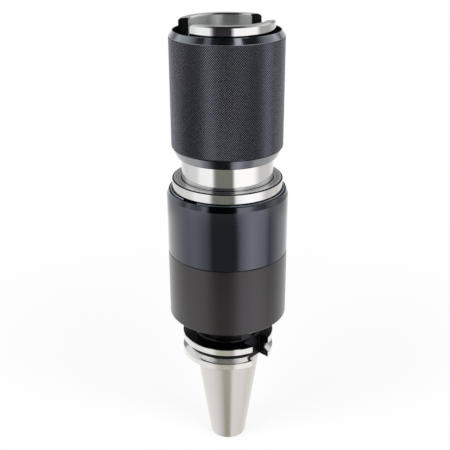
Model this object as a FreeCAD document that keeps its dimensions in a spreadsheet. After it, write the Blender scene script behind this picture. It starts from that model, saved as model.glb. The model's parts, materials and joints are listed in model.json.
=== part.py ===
import FreeCAD, Part
import math
import os
import re

import Sketcher
from FreeCAD import Placement, Rotation, Vector

# A tap holder with length compensation and a quick-change nose, on a 40 taper V-flange shank.
# The origin is the centre of the gauge plane, and +Z points along the spindle towards the nose.

# Driving sizes, in millimetres, degrees and counts: alias, value, what it sets
DRIVING_SIZES = [
    ("gauge_dia", 44.45, "taper diameter at the gauge plane"),
    ("taper_length", 68.25, "gauge plane to small end"),
    ("taper_rise", 7, "taper on diameter, per taper_run"),
    ("taper_run", 24, "length over which the diameter changes by taper_rise"),
    ("small_end_chamfer", 1.2, "chamfer at the small end"),
    ("flange_gap", 3.175, "gauge plane to flange"),
    ("flange_thickness", 15.875, "flange, face to face"),
    ("flange_dia", 63.5, "outside of the flange"),
    ("flange_chamfer", 0.4, "chamfer on both rims of the flange"),
    ("vee_station", 11.11, "gauge plane to the middle of the V-groove"),
    ("vee_floor_dia", 56.36, "diameter at the floor of the V-groove"),
    ("vee_floor_width", 2.92, "width of the floor of the V-groove"),
    ("vee_half_angle", 30, "flank angle of the V-groove"),
    ("drive_slot_width", 16.38, "width of the flange drive slots"),
    ("deep_slot_floor", 22.6, "axis to the floor of the deeper drive slot"),
    ("shallow_slot_floor", 25, "axis to the floor of the other drive slot"),
    ("neck_dia", 44.45, "neck between flange and housing"),
    ("neck_fillet", 1.5, "fillets at both ends of the neck"),
    ("drawbar_dia", 13.5, "drilled size of the drawbar thread"),
    ("drawbar_depth", 34, "small end to the end of the drawbar thread"),
    ("pilot_dia", 16.5, "pilot bore in front of the drawbar thread"),
    ("pilot_depth", 4.5, "depth of the pilot bore"),
    ("drill_point_height", 3.9, "drill point past the drawbar thread"),
    ("housing_dia", 80, "outside of the housing"),
    ("housing_bottom", 34.9, "gauge plane to the underside of the housing"),
    ("housing_edge", 1, "chamfer under the housing"),
    ("floor_thickness", 7.1, "floor of the housing"),
    ("seam_station", 82, "gauge plane to the joint of shank and barrel"),
    ("seam_chamfer", 0.4, "chamfers at that joint"),
    ("cavity_wall", 6, "wall of the shank round the stop ring"),
    ("thread_wall", 3.5, "wall of the shank round the barrel's thread"),
    ("compression_travel", 9.5, "spindle travel towards the shank"),
    ("tension_travel", 15, "spindle travel away from the shank"),
    ("stop_margin", 0.5, "room left at the end of each travel"),
    ("running_clearance", 0.05, "radial clearance of sliding pieces"),
    ("fixed_clearance", 0.02, "radial clearance of pieces that stay put"),
    ("barrel_wall", 7, "wall of the barrel round the ball cage"),
    ("cage_room", 3, "spindle to barrel, where the ball cage runs"),
    ("nose_rise", 0.6, "how much the spindle widens under the release sleeve"),
    ("nose_top", 234.5, "gauge plane to the nose face"),
    ("nose_chamfer", 1.3, "outer chamfer of the nose"),
    ("spindle_wall", 6, "spindle's guided face to its adapter bore"),
    ("bore_chamfer", 0.8, "lead-in of the adapter bore"),
    ("bore_depth", 69.5, "nose face to the bore stop's seat"),
    ("relief_station", 33, "nose face to the relief groove in the bore"),
    ("relief_width", 2.5, "width of the relief groove"),
    ("relief_depth", 0.5, "depth of the relief groove"),
    ("nose_slot_width", 24, "drive slots across the nose"),
    ("nose_slot_depth", 12.5, "depth of those slots"),
    ("nose_slot_chamfer", 1.3, "chamfer along those slots"),
    ("nose_slot_direction", 62, "direction of those slots from +X"),
    ("lip_thickness", 5, "lower guide in the barrel"),
    ("stop_ring_height", 4.5, "ring nut on the spindle's lower end"),
    ("stop_ring_room", 0.5, "that ring nut to the shank's wall"),
    ("thread_step", 2, "spindle's guided face to the ring nut's thread"),
    ("web_bottom", 88, "gauge plane to the underside of the spindle's web"),
    ("web_thickness", 8, "web between the two springs"),
    ("web_hole_dia", 14, "hole in the web round the tie bolt"),
    ("chamber_step", 2, "adapter bore to the wall of the spring chamber above the web"),
    ("cage_length", 24, "length of the ball cage"),
    ("cage_side_gap", 0.35, "cage to spindle and to barrel, each side"),
    ("torque_ball_dia", 6, "balls that carry the torque"),
    ("torque_ball_rows", 3, "rows of torque balls around the spindle"),
    ("torque_balls_per_row", 3, "torque balls along each row"),
    ("torque_ball_pitch", 7.4, "spacing of the balls along a row"),
    ("ball_clearance", 0.05, "radial clearance of every ball"),
    ("housing_top", 125.5, "gauge plane to the barrel's mouth"),
    ("mouth_chamfer_run", 3.5, "height of the chamfer at the barrel's mouth"),
    ("mouth_chamfer_rise", 1.4, "width of that chamfer"),
    ("collar_top", 133, "gauge plane to the top of the guide collar"),
    ("collar_wall", 6.25, "guide collar, from the spindle to its outside"),
    ("bush_step", 2, "barrel's cage bore to the collar's bush"),
    ("collar_flange_step", 1.3, "flange that the snap ring holds down, past the collar"),
    ("collar_flange_height", 3.2, "height of that flange"),
    ("collar_edge", 0.5, "chamfers of the collar"),
    ("land_bottom", 126.6, "gauge plane to the foot of the collar's bright land"),
    ("undercut_depth", 0.3, "undercut of the collar beside the snap ring"),
    ("snap_wire_dia", 1.6, "wire of the collar's snap ring"),
    ("snap_ring_step", 1, "collar's outside to the middle of that wire"),
    ("snap_ring_arc", 343, "how far round that ring goes"),
    ("snap_ring_gap_direction", 270, "direction of that ring's gap from +X"),
    ("wiper_top_gap", 2.1, "collar's top to the wiper"),
    ("wiper_height", 2.4, "height of the wiper"),
    ("wiper_depth", 2.2, "depth of the wiper's groove"),
    ("wiper_lip", 0.3, "edge of the wiper's lip"),
    ("bolt_dia", 12, "tie bolt"),
    ("bolt_head_dia", 18, "head of the tie bolt"),
    ("bolt_head_height", 12, "height of that head"),
    ("bolt_engagement", 20, "tie bolt's thread in the shank"),
    ("bolt_edge", 0.5, "chamfers of bolt and ring nut"),
    ("bolt_socket", 10, "hexagon socket, across flats"),
    ("bolt_socket_depth", 6, "depth of that socket"),
    ("bolt_head_gap", 2.5, "bolt head to bore stop at full compression"),
    ("plate_thickness", 3, "spring plate under the bolt head"),
    ("plate_room", 0.5, "spring plate to the wall of its chamber"),
    ("spring_room", 2, "both large springs to the walls of their chambers"),
    ("lower_spring_wire", 4, "wire of the compression spring"),
    ("lower_spring_turns", 6, "turns of the compression spring"),
    ("upper_spring_wire", 3.5, "wire of the tension spring"),
    ("upper_spring_turns", 6, "turns of the tension spring"),
    ("stop_disc_thickness", 5, "disc that closes the adapter bore"),
    ("stop_disc_hole_dia", 5, "air hole in that disc"),
    ("retainer_thickness", 1.6, "flat retaining rings"),
    ("retainer_seat_depth", 1.1, "depth of their grooves"),
    ("retainer_reach", 1.9, "how far they stand out of their grooves"),
    ("ring_gap_angle", 24, "opening of the flat retaining rings"),
    ("stop_seat_width", 0.88, "shoulder in the sleeve, under its stop ring"),
    ("stop_ring_gap", 0.35, "that stop ring to the sleeve's bore"),
    ("sleeve_wall", 2.85, "release sleeve, from its bore to the knurl"),
    ("sleeve_top", 228.4, "gauge plane to the sleeve's rim"),
    ("sleeve_shoulder", 224.8, "gauge plane to the foot of the rim's bevel"),
    ("rim_step", 2.4, "knurl to the sleeve's rim, on radius"),
    ("knurl_bottom", 154.1, "gauge plane to the foot of the knurl"),
    ("sleeve_bottom", 148, "gauge plane to the sleeve's lower end"),
    ("sleeve_edge", 0.5, "edges at both ends of the knurl"),
    ("end_ring_step", 0.55, "knurl to the upper end of the tapered end ring"),
    ("end_ring_narrow", 3.25, "knurl to the lower end of that ring"),
    ("end_ring_seat", 4.9, "how far the end ring goes into the sleeve"),
    ("end_ring_edge", 0.6, "chamfers of the end ring"),
    ("release_travel", 5, "how far the sleeve is pulled back"),
    ("lock_ball_inset", 0.2, "balls that lock the adapter, below the spindle's face"),
    ("lock_ball_count", 3, "number of those balls"),
    ("lock_ball_depth", 26.5, "nose face to those balls"),
    ("lock_ball_bite", 1.6, "how far they stand into the bore"),
    ("lock_ball_retreat", 1.65, "how far they move out on release"),
    ("land_height", 12, "the sleeve's land that holds the balls in"),
    ("stop_shoulder_gap", 8, "lock balls to the shoulder under the stop ring"),
    ("sleeve_spring_seat", 174, "gauge plane to the sleeve spring's seat"),
    ("sleeve_spring_turns", 4, "turns of the sleeve spring"),
    ("seat_washer_thickness", 2, "washer under the sleeve spring"),
    ("grub_screw_dia", 4, "screw that locks the stop ring"),
    ("sleeve_spring_room", 0.3, "sleeve spring to the sleeve's bore"),
    ("seat_gap", 0.1, "springs and wiper to their seats"),
]

# Sizes and stations that follow from the driving ones: name, formula
WORKED_OUT = {
    "gauge_r": "gauge_dia / 2",
    "taper_slope": "taper_rise / (2 * taper_run)",
    "small_end_r": "gauge_r - taper_length * taper_slope",
    "flange_r": "flange_dia / 2",
    "flange_top": "flange_gap + flange_thickness",
    "vee_floor_r": "vee_floor_dia / 2",
    "vee_floor_half": "vee_floor_width / 2",
    "vee_mouth_half": "vee_floor_half + (flange_r - vee_floor_r) * tan(vee_half_angle)",
    "neck_r": "neck_dia / 2",
    "housing_r": "housing_dia / 2",
    "floor_top": "housing_bottom + floor_thickness",
    "cavity_r": "housing_r - cavity_wall",
    "barrel_thread_r": "housing_r - thread_wall",
    "cage_bore_r": "housing_r - barrel_wall",
    "spindle_r": "cage_bore_r - cage_room",
    "guide_r": "spindle_r + running_clearance",
    "spindle_thread_r": "spindle_r - thread_step",
    "stop_ring_r": "cavity_r - stop_ring_room",
    "spindle_bottom": "floor_top + compression_travel + stop_margin",
    "stop_ring_top": "spindle_bottom + stop_ring_height",
    "grub_screw_r": "grub_screw_dia / 2",
    "grub_screw_station": "spindle_bottom + stop_ring_height / 2",
    "barrel_bottom": "stop_ring_top + tension_travel + stop_margin",
    "lip_top": "barrel_bottom + lip_thickness",
    "cage_bottom": "lip_top + stop_margin + compression_travel / 2",
    "cage_middle": "cage_bottom + cage_length / 2",
    "cage_top": "cage_bottom + cage_length",
    "torque_ball_r": "torque_ball_dia / 2",
    "ball_groove_r": "torque_ball_r + ball_clearance",
    "ball_circle_r": "(spindle_r + cage_bore_r) / 2",
    "ball_row_half": "(torque_balls_per_row - 1) * torque_ball_pitch / 2 + torque_ball_r",
    "inner_track_bottom": "cage_middle - ball_row_half - tension_travel / 2 - stop_margin",
    "inner_track_top": "cage_middle + ball_row_half + compression_travel / 2 + stop_margin",
    "collar_bottom": "cage_top + tension_travel / 2 + stop_margin",
    "collar_r": "spindle_r + collar_wall",
    "collar_bush_r": "cage_bore_r + bush_step",
    "collar_flange_r": "collar_r + collar_flange_step",
    "snap_wire_r": "snap_wire_dia / 2",
    "snap_ring_r": "collar_r + snap_ring_step",
    "snap_ring_station": "housing_top - snap_wire_r / 2",
    "flange_head": "snap_ring_station - snap_wire_r",
    "flange_foot": "flange_head - collar_flange_height",
    "wiper_top": "collar_top - wiper_top_gap",
    "wiper_bottom": "wiper_top - wiper_height",
    "wiper_r": "spindle_r + wiper_depth",
    "nose_r": "spindle_r + nose_rise",
    "nose_guide_r": "nose_r + running_clearance",
    "nose_groove_r": "nose_r - retainer_seat_depth",
    "bore_r": "spindle_r - spindle_wall",
    "upper_chamber_r": "bore_r - chamber_step",
    "bore_groove_r": "bore_r + retainer_seat_depth",
    "relief_bottom": "nose_top - relief_station",
    "web_top": "web_bottom + web_thickness",
    "stop_disc_bottom": "nose_top - bore_depth",
    "stop_disc_top": "stop_disc_bottom + stop_disc_thickness",
    "bolt_r": "bolt_dia / 2",
    "bolt_head_r": "bolt_head_dia / 2",
    "bolt_foot": "floor_top - bolt_engagement",
    "bolt_head_top": "stop_disc_bottom - compression_travel - bolt_head_gap",
    "bolt_head_bottom": "bolt_head_top - bolt_head_height",
    "socket_corner": "bolt_socket / sqrt(3)",
    "plate_bottom": "bolt_head_bottom - plate_thickness",
    "lock_ball_station": "nose_top - lock_ball_depth",
    "lock_ball_r": "(nose_r - lock_ball_inset - bore_r + lock_ball_bite) / 2",
    "lock_ball_hole_r": "lock_ball_r + ball_clearance",
    "lock_ball_centre": "bore_r - lock_ball_bite + lock_ball_r",
    "ramp_slope": "lock_ball_retreat / release_travel",
    "ramp_r": "lock_ball_centre + lock_ball_hole_r * sqrt(1 + ramp_slope * ramp_slope)",
    "ramp_foot": "lock_ball_station - (ramp_r - nose_guide_r) / ramp_slope",
    "shoulder_r": "ramp_r + lock_ball_retreat + seat_gap",
    "ramp_head": "ramp_foot + (shoulder_r - nose_guide_r) / ramp_slope",
    "stop_shoulder": "lock_ball_station + stop_shoulder_gap",
    "land_foot": "ramp_foot - land_height",
    "sleeve_bore_r": "shoulder_r + stop_seat_width",
    "sleeve_r": "sleeve_bore_r + sleeve_wall",
    "rim_r": "sleeve_r - rim_step",
    "end_ring_wide_r": "sleeve_r - end_ring_step",
    "end_ring_r": "sleeve_r - end_ring_narrow",
    "end_ring_top": "knurl_bottom + end_ring_seat",
    "nose_step": "end_ring_top + end_ring_edge",
    "washer_bottom": "sleeve_spring_seat - seat_washer_thickness",
    "seat_ring_bottom": "washer_bottom - retainer_thickness",
}

WORDS = re.compile(r"[a-z][a-z0-9_]*")
FUNCTIONS = ("cos", "sin", "sqrt", "tan")

# Straight lengths in each turn of a spring, so that it has few faces
SPRING_STEPS = 16


def spell_out(formula):
    """Turn a formula in plain names into an expression on the sheet's cells."""
    def replace(match):
        word = match.group(0)
        if word in FUNCTIONS:
            return word
        if word in WORKED_OUT:
            return "(" + spell_out(WORKED_OUT[word]) + ")"
        return "sizes." + word

    return WORDS.sub(replace, formula)


def bind(item, slot, formula):
    """Bind one property or constraint to a formula."""
    item.setExpression(slot, spell_out(formula))


def make_sheet(doc):
    """Write the driving sizes into the document's spreadsheet."""
    sheet = doc.addObject("Spreadsheet::Sheet", "sizes")
    for row, (alias, size, purpose) in enumerate(DRIVING_SIZES, start=1):
        sheet.set("A" + str(row), alias)
        sheet.set("B" + str(row), str(size))
        sheet.set("C" + str(row), purpose)
        sheet.setAlias("B" + str(row), alias)
    doc.recompute()
    return sheet


# Building blocks

def origin_feature(body, role):
    """Give one of the body's own origin planes or axes."""
    return [item for item in body.Origin.OriginFeatures if item.Role == role][0]


def new_sketch(body, name, plane="XZ_Plane"):
    """Start a sketch on one of the body's origin planes."""
    sketch = body.newObject("Sketcher::SketchObject", name)
    sketch.AttachmentSupport = [(origin_feature(body, plane), "")]
    sketch.MapMode = "FlatFace"
    return sketch


def raised_sketch(body, name, plane, height):
    """Start a sketch parallel to an origin plane, at a height along the plane's normal."""
    sketch = new_sketch(body, name, plane)
    bind(sketch, "AttachmentOffset.Base.z", height)
    return sketch


def pin_point(sketch, rules, geometry, point, across, up):
    """Add the two rules that place a point, and give those that are bound to the sheet."""
    bound = []
    for kind, axis, formula in (("DistanceX", -2, across), ("DistanceY", -1, up)):
        if formula == "0":
            rules.append(Sketcher.Constraint("PointOnObject", geometry, point, axis))
        else:
            bound.append((len(rules), formula))
            rules.append(Sketcher.Constraint(kind, -1, 1, geometry, point, 1.0 + geometry))
    return bound


def bind_rules(sketch, rules, bound):
    """Add the rules to the sketch and bind their values."""
    first = sketch.ConstraintCount
    sketch.addConstraint(rules)
    for place, formula in bound:
        bind(sketch, "Constraints[" + str(first + place) + "]", formula)


def draw_outline(sketch, corners):
    """Draw a closed outline through (across, up) corners, each bound to the sheet."""
    count = len(corners)
    rough = [Vector(index, index * index, 0) for index in range(count)]
    sketch.addGeometry([Part.LineSegment(rough[i], rough[(i + 1) % count]) for i in range(count)], False)
    rules = [Sketcher.Constraint("Coincident", i, 2, (i + 1) % count, 1) for i in range(count)]
    bound = []
    for index, (across, up) in enumerate(corners):
        bound += pin_point(sketch, rules, index, 1, across, up)
    bind_rules(sketch, rules, bound)


def draw_circle(sketch, across, up, radius):
    """Draw a circle whose centre and radius are bound to the sheet."""
    place = sketch.addGeometry(Part.Circle(Vector(1, 1, 0), Vector(0, 0, 1), 1), False)
    rules = []
    bound = pin_point(sketch, rules, place, 3, across, up)
    bound.append((len(rules), radius))
    rules.append(Sketcher.Constraint("Radius", place, 1.0))
    bind_rules(sketch, rules, bound)


def block(low_across, high_across, low_up, high_up):
    """Give the four corners of a rectangle."""
    return [(low_across, low_up), (high_across, low_up), (high_across, high_up), (low_across, high_up)]


def new_body(doc, label):
    """Start a body whose label is its node's name."""
    body = doc.addObject("PartDesign::Body", label)
    body.Label = label
    return body


def turn(body, kind, name, sketch):
    """Turn a sketch about its vertical axis, as material or as a groove."""
    feature = body.newObject(kind, name)
    feature.Profile = sketch
    feature.ReferenceAxis = (sketch, ["V_Axis"])
    feature.Angle = 360
    return feature


def turned_body(doc, label, corners):
    """Make a turned piece from its half outline, as (radius, height) corners."""
    body = new_body(doc, label)
    sketch = new_sketch(body, label + "_profile")
    draw_outline(sketch, corners)
    turn(body, "PartDesign::Revolution", label + "_turning", sketch)
    return body


def open_ring(doc, label, corners, gap_angle):
    """Make a flat ring with an opening, from its section."""
    body = turned_body(doc, label, corners)
    bind(body.Tip, "Angle", "360 - " + gap_angle)
    return body


def cut(body, name, sketch, depth, backwards=False):
    """Cut a pocket from a sketch to a depth that is bound to the sheet."""
    feature = body.newObject("PartDesign::Pocket", name)
    feature.Profile = sketch
    bind(feature, "Length", depth)
    feature.Reversed = backwards
    return feature


def repeat_round(body, feature, count):
    """Repeat a feature evenly round the body's axis."""
    pattern = body.newObject("PartDesign::PolarPattern", feature.Name + "_pattern")
    pattern.Originals = [feature]
    pattern.Axis = (origin_feature(body, "Z_Axis"), [""])
    pattern.Angle = 360
    bind(pattern, "Occurrences", count)
    body.Tip = pattern
    return pattern


def check_cut(body, before):
    """Stop if the body's last cut took nothing away, and give the volume that is left."""
    body.Document.recompute()
    if body.Shape.Volume > before - 0.01:
        raise RuntimeError(body.Tip.Label + " cuts nothing")
    return body.Shape.Volume


def solid_volume(body):
    """Give the body's volume as it is now."""
    body.Document.recompute()
    return body.Shape.Volume


def circular_edges(shape, radius, height):
    """Name the circular edges that have a radius and lie at a height."""
    names = []
    for index, edge in enumerate(shape.Edges, start=1):
        curve = edge.Curve
        if isinstance(curve, Part.Circle) and abs(curve.Radius - radius) < 1e-4:
            if abs(curve.Center.z - height) < 1e-4:
                names.append("Edge" + str(index))
    return names


def line_up(item):
    """Turn a piece about the spindle's axis, so that its +X is the direction of the nose slots."""
    item.Placement = Placement(Vector(0, 0, 0), Rotation(Vector(0, 0, 1), 1))
    bind(item, "Placement.Rotation.Angle", "nose_slot_direction")


def ball(doc, name, ball_radius, circle_radius, angle, height):
    """Make one ball on a circle round the axis."""
    sphere = doc.addObject("Part::Sphere", name)
    sphere.Label = name
    bind(sphere, "Radius", ball_radius)
    bind(sphere, "Placement.Base.x", circle_radius + " * cos(" + angle + ")")
    bind(sphere, "Placement.Base.y", circle_radius + " * sin(" + angle + ")")
    bind(sphere, "Placement.Base.z", height)
    return sphere


def spindle_radius(sheet):
    """Give the radius of the spindle's guided face."""
    return sheet.housing_dia / 2 - sheet.barrel_wall - sheet.cage_room


def coil_spring(doc, label, outer_radius, wire, bottom, top, turns):
    """Make a coil spring of square wire, with one closed turn at each end."""
    steps = SPRING_STEPS
    closed_pitch = 1.02 * wire
    open_turns = turns - 2
    open_pitch = (top - bottom - wire - 2 * closed_pitch) / open_turns
    sections = []
    for step in range(int(turns) * steps + 1):
        done = step / steps
        opened = min(max(done - 1, 0), open_turns)
        climb = (done - opened) * closed_pitch + opened * open_pitch
        angle = 2 * math.pi * done
        outward = Vector(math.cos(angle), math.sin(angle), 0)
        corners = [
            outward * radius + Vector(0, 0, bottom + climb + lift)
            for radius, lift in (
                (outer_radius - wire, 0), (outer_radius, 0), (outer_radius, wire), (outer_radius - wire, wire))
        ]
        sections.append(Part.makePolygon(corners + corners[:1]))
    spring = doc.addObject("Part::Feature", label)
    spring.Label = label
    spring.Shape = Part.makeLoft(sections, True, True)
    return spring


# The shank and what is fixed to it

def make_taper_shank(doc, sheet):
    """Taper, V-flange, neck and the lower half of the housing, in one piece."""
    body = turned_body(doc, "taper_shank", [
        ("0", "-taper_length"),
        ("small_end_r - small_end_chamfer / 2", "-taper_length"),
        ("small_end_r + small_end_chamfer * taper_slope", "-taper_length + small_end_chamfer"),
        ("gauge_r", "0"),
        ("gauge_r", "flange_gap"),
        ("flange_r - flange_chamfer", "flange_gap"),
        ("flange_r", "flange_gap + flange_chamfer"),
        ("flange_r", "vee_station - vee_mouth_half"),
        ("vee_floor_r", "vee_station - vee_floor_half"),
        ("vee_floor_r", "vee_station + vee_floor_half"),
        ("flange_r", "vee_station + vee_mouth_half"),
        ("flange_r", "flange_top - flange_chamfer"),
        ("flange_r - flange_chamfer", "flange_top"),
        ("neck_r", "flange_top"),
        ("neck_r", "housing_bottom"),
        ("housing_r - housing_edge", "housing_bottom"),
        ("housing_r", "housing_bottom + housing_edge"),
        ("housing_r", "seam_station - seam_chamfer"),
        ("housing_r - seam_chamfer", "seam_station"),
        ("barrel_thread_r", "seam_station"),
        ("barrel_thread_r", "barrel_bottom - stop_margin"),
        ("cavity_r", "barrel_bottom - stop_margin"),
        ("cavity_r", "floor_top"),
        ("bolt_r + fixed_clearance", "floor_top"),
        ("bolt_r + fixed_clearance", "bolt_foot - stop_margin"),
        ("0", "bolt_foot - stop_margin"),
    ])
    doc.recompute()
    turning = body.Tip
    flange_top = sheet.flange_gap + sheet.flange_thickness
    edges = circular_edges(turning.Shape, sheet.neck_dia / 2, flange_top)
    edges += circular_edges(turning.Shape, sheet.neck_dia / 2, sheet.housing_bottom)
    fillet = body.newObject("PartDesign::Fillet", "neck_fillets")
    fillet.Base = (turning, edges)
    bind(fillet, "Radius", "neck_fillet")
    volume = solid_volume(body)

    hole = new_sketch(body, "drawbar_hole_profile")
    draw_outline(hole, [
        ("0", "-taper_length"),
        ("pilot_dia / 2", "-taper_length"),
        ("pilot_dia / 2", "-taper_length + pilot_depth"),
        ("drawbar_dia / 2", "-taper_length + pilot_depth"),
        ("drawbar_dia / 2", "-taper_length + drawbar_depth"),
        ("0", "-taper_length + drawbar_depth + drill_point_height"),
    ])
    turn(body, "PartDesign::Groove", "drawbar_hole", hole)
    volume = check_cut(body, volume)

    sides = (
        ("deep_slot", "deep_slot_floor", "flange_r + 1"),
        ("shallow_slot", "-flange_r - 1", "-shallow_slot_floor"),
    )
    for name, left, right in sides:
        sketch = raised_sketch(body, name + "_outline", "XY_Plane", "flange_gap")
        draw_outline(sketch, block(left, right, "-drive_slot_width / 2", "drive_slot_width / 2"))
        cut(body, name, sketch, "flange_thickness + neck_fillet", True)
        volume = check_cut(body, volume)
    return body


def make_housing_barrel(doc):
    """Upper half of the housing, screwed into the shank, with the outer ball tracks."""
    body = turned_body(doc, "housing_barrel", [
        ("guide_r", "barrel_bottom"),
        ("barrel_thread_r - fixed_clearance", "barrel_bottom"),
        ("barrel_thread_r - fixed_clearance", "seam_station"),
        ("housing_r - seam_chamfer", "seam_station"),
        ("housing_r", "seam_station + seam_chamfer"),
        ("housing_r", "housing_top - mouth_chamfer_run"),
        ("housing_r - mouth_chamfer_rise", "housing_top"),
        ("collar_flange_r + fixed_clearance", "housing_top"),
        ("collar_flange_r + fixed_clearance", "flange_foot"),
        ("collar_bush_r + fixed_clearance", "flange_foot"),
        ("collar_bush_r + fixed_clearance", "collar_bottom"),
        ("cage_bore_r", "collar_bottom"),
        ("cage_bore_r", "lip_top"),
        ("guide_r", "lip_top"),
    ])
    volume = solid_volume(body)

    seat = new_sketch(body, "ring_seat_profile")
    draw_circle(seat, "snap_ring_r", "snap_ring_station", "snap_wire_r + fixed_clearance")
    turn(body, "PartDesign::Groove", "ring_seat", seat)
    volume = check_cut(body, volume)

    track = raised_sketch(body, "outer_track_outline", "XY_Plane", "lip_top + stop_margin")
    draw_circle(track, "ball_circle_r", "0", "ball_groove_r")
    feature = cut(body, "outer_track", track, "collar_bottom - lip_top", True)
    volume = check_cut(body, volume)
    repeat_round(body, feature, "torque_ball_rows")
    check_cut(body, volume)
    line_up(body)
    return body


def make_guide_collar(doc):
    """Bush that guides the spindle at the barrel's mouth."""
    return turned_body(doc, "guide_collar", [
        ("guide_r", "collar_bottom"),
        ("collar_bush_r", "collar_bottom"),
        ("collar_bush_r", "flange_foot"),
        ("collar_flange_r", "flange_foot"),
        ("collar_flange_r", "flange_head"),
        ("collar_r - undercut_depth", "flange_head"),
        ("collar_r - undercut_depth", "land_bottom - collar_edge / 2"),
        ("collar_r", "land_bottom"),
        ("collar_r", "collar_top - collar_edge"),
        ("collar_r - collar_edge", "collar_top"),
        ("guide_r + collar_edge", "collar_top"),
        ("guide_r", "collar_top - collar_edge"),
        ("guide_r", "wiper_top"),
        ("wiper_r", "wiper_top"),
        ("wiper_r", "wiper_bottom"),
        ("guide_r", "wiper_bottom"),
    ])


def make_spindle_wiper(doc):
    """Rubber wiper in the collar's groove, with a lip towards the spindle."""
    return turned_body(doc, "spindle_wiper", [
        ("guide_r + wiper_depth / 3", "wiper_bottom + seat_gap"),
        ("wiper_r - fixed_clearance", "wiper_bottom + seat_gap"),
        ("wiper_r - fixed_clearance", "wiper_top - seat_gap"),
        ("guide_r + wiper_lip", "wiper_top - seat_gap"),
        ("guide_r", "wiper_top - seat_gap - wiper_lip"),
        ("guide_r", "wiper_top - seat_gap - 2 * wiper_lip"),
    ])


def make_collar_snap_ring(doc):
    """Wire ring that holds the guide collar in the barrel's mouth."""
    body = new_body(doc, "collar_snap_ring")
    sketch = new_sketch(body, "collar_snap_ring_section")
    draw_circle(sketch, "snap_ring_r", "snap_ring_station", "snap_wire_r")
    ring = turn(body, "PartDesign::Revolution", "collar_snap_ring_turning", sketch)
    bind(ring, "Angle", "snap_ring_arc")
    ring.Midplane = True
    body.Placement = Placement(Vector(0, 0, 0), Rotation(Vector(0, 0, 1), 1))
    bind(body, "Placement.Rotation.Angle", "snap_ring_gap_direction - 180")
    return body


def make_tie_bolt(doc):
    """Socket screw that carries both compensation springs."""
    body = turned_body(doc, "tie_bolt", [
        ("0", "bolt_foot"),
        ("bolt_r - bolt_edge", "bolt_foot"),
        ("bolt_r", "bolt_foot + bolt_edge"),
        ("bolt_r", "bolt_head_bottom"),
        ("bolt_head_r", "bolt_head_bottom"),
        ("bolt_head_r", "bolt_head_top - bolt_edge"),
        ("bolt_head_r - bolt_edge", "bolt_head_top"),
        ("0", "bolt_head_top"),
    ])
    volume = solid_volume(body)
    socket = raised_sketch(body, "socket_outline", "XY_Plane", "bolt_head_top")
    draw_outline(socket, [
        ("socket_corner", "0"),
        ("socket_corner / 2", "bolt_socket / 2"),
        ("-socket_corner / 2", "bolt_socket / 2"),
        ("-socket_corner", "0"),
        ("-socket_corner / 2", "-bolt_socket / 2"),
        ("socket_corner / 2", "-bolt_socket / 2"),
    ])
    cut(body, "socket", socket, "bolt_socket_depth")
    check_cut(body, volume)
    return body


def make_spring_plate(doc):
    """Washer between the tie bolt's head and the tension spring."""
    return turned_body(doc, "spring_plate", block(
        "bolt_r + running_clearance", "upper_chamber_r - plate_room", "plate_bottom", "bolt_head_bottom"))


def make_compensation_springs(doc, sheet):
    """The two springs that return the spindle after compression and tension."""
    floor_top = sheet.housing_bottom + sheet.floor_thickness
    disc_bottom = sheet.nose_top - sheet.bore_depth
    head_top = disc_bottom - sheet.compression_travel - sheet.bolt_head_gap
    plate_bottom = head_top - sheet.bolt_head_height - sheet.plate_thickness
    web_top = sheet.web_bottom + sheet.web_thickness
    gap = sheet.seat_gap
    lower_radius = spindle_radius(sheet) - sheet.spindle_wall - sheet.spring_room
    lower = coil_spring(
        doc, "compression_spring", lower_radius, sheet.lower_spring_wire,
        floor_top + gap, sheet.web_bottom - gap, sheet.lower_spring_turns)
    upper = coil_spring(
        doc, "tension_spring", lower_radius - sheet.chamber_step, sheet.upper_spring_wire,
        web_top + gap, plate_bottom - gap, sheet.upper_spring_turns)
    return [lower, upper]


# The spindle and what is fixed to it

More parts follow.
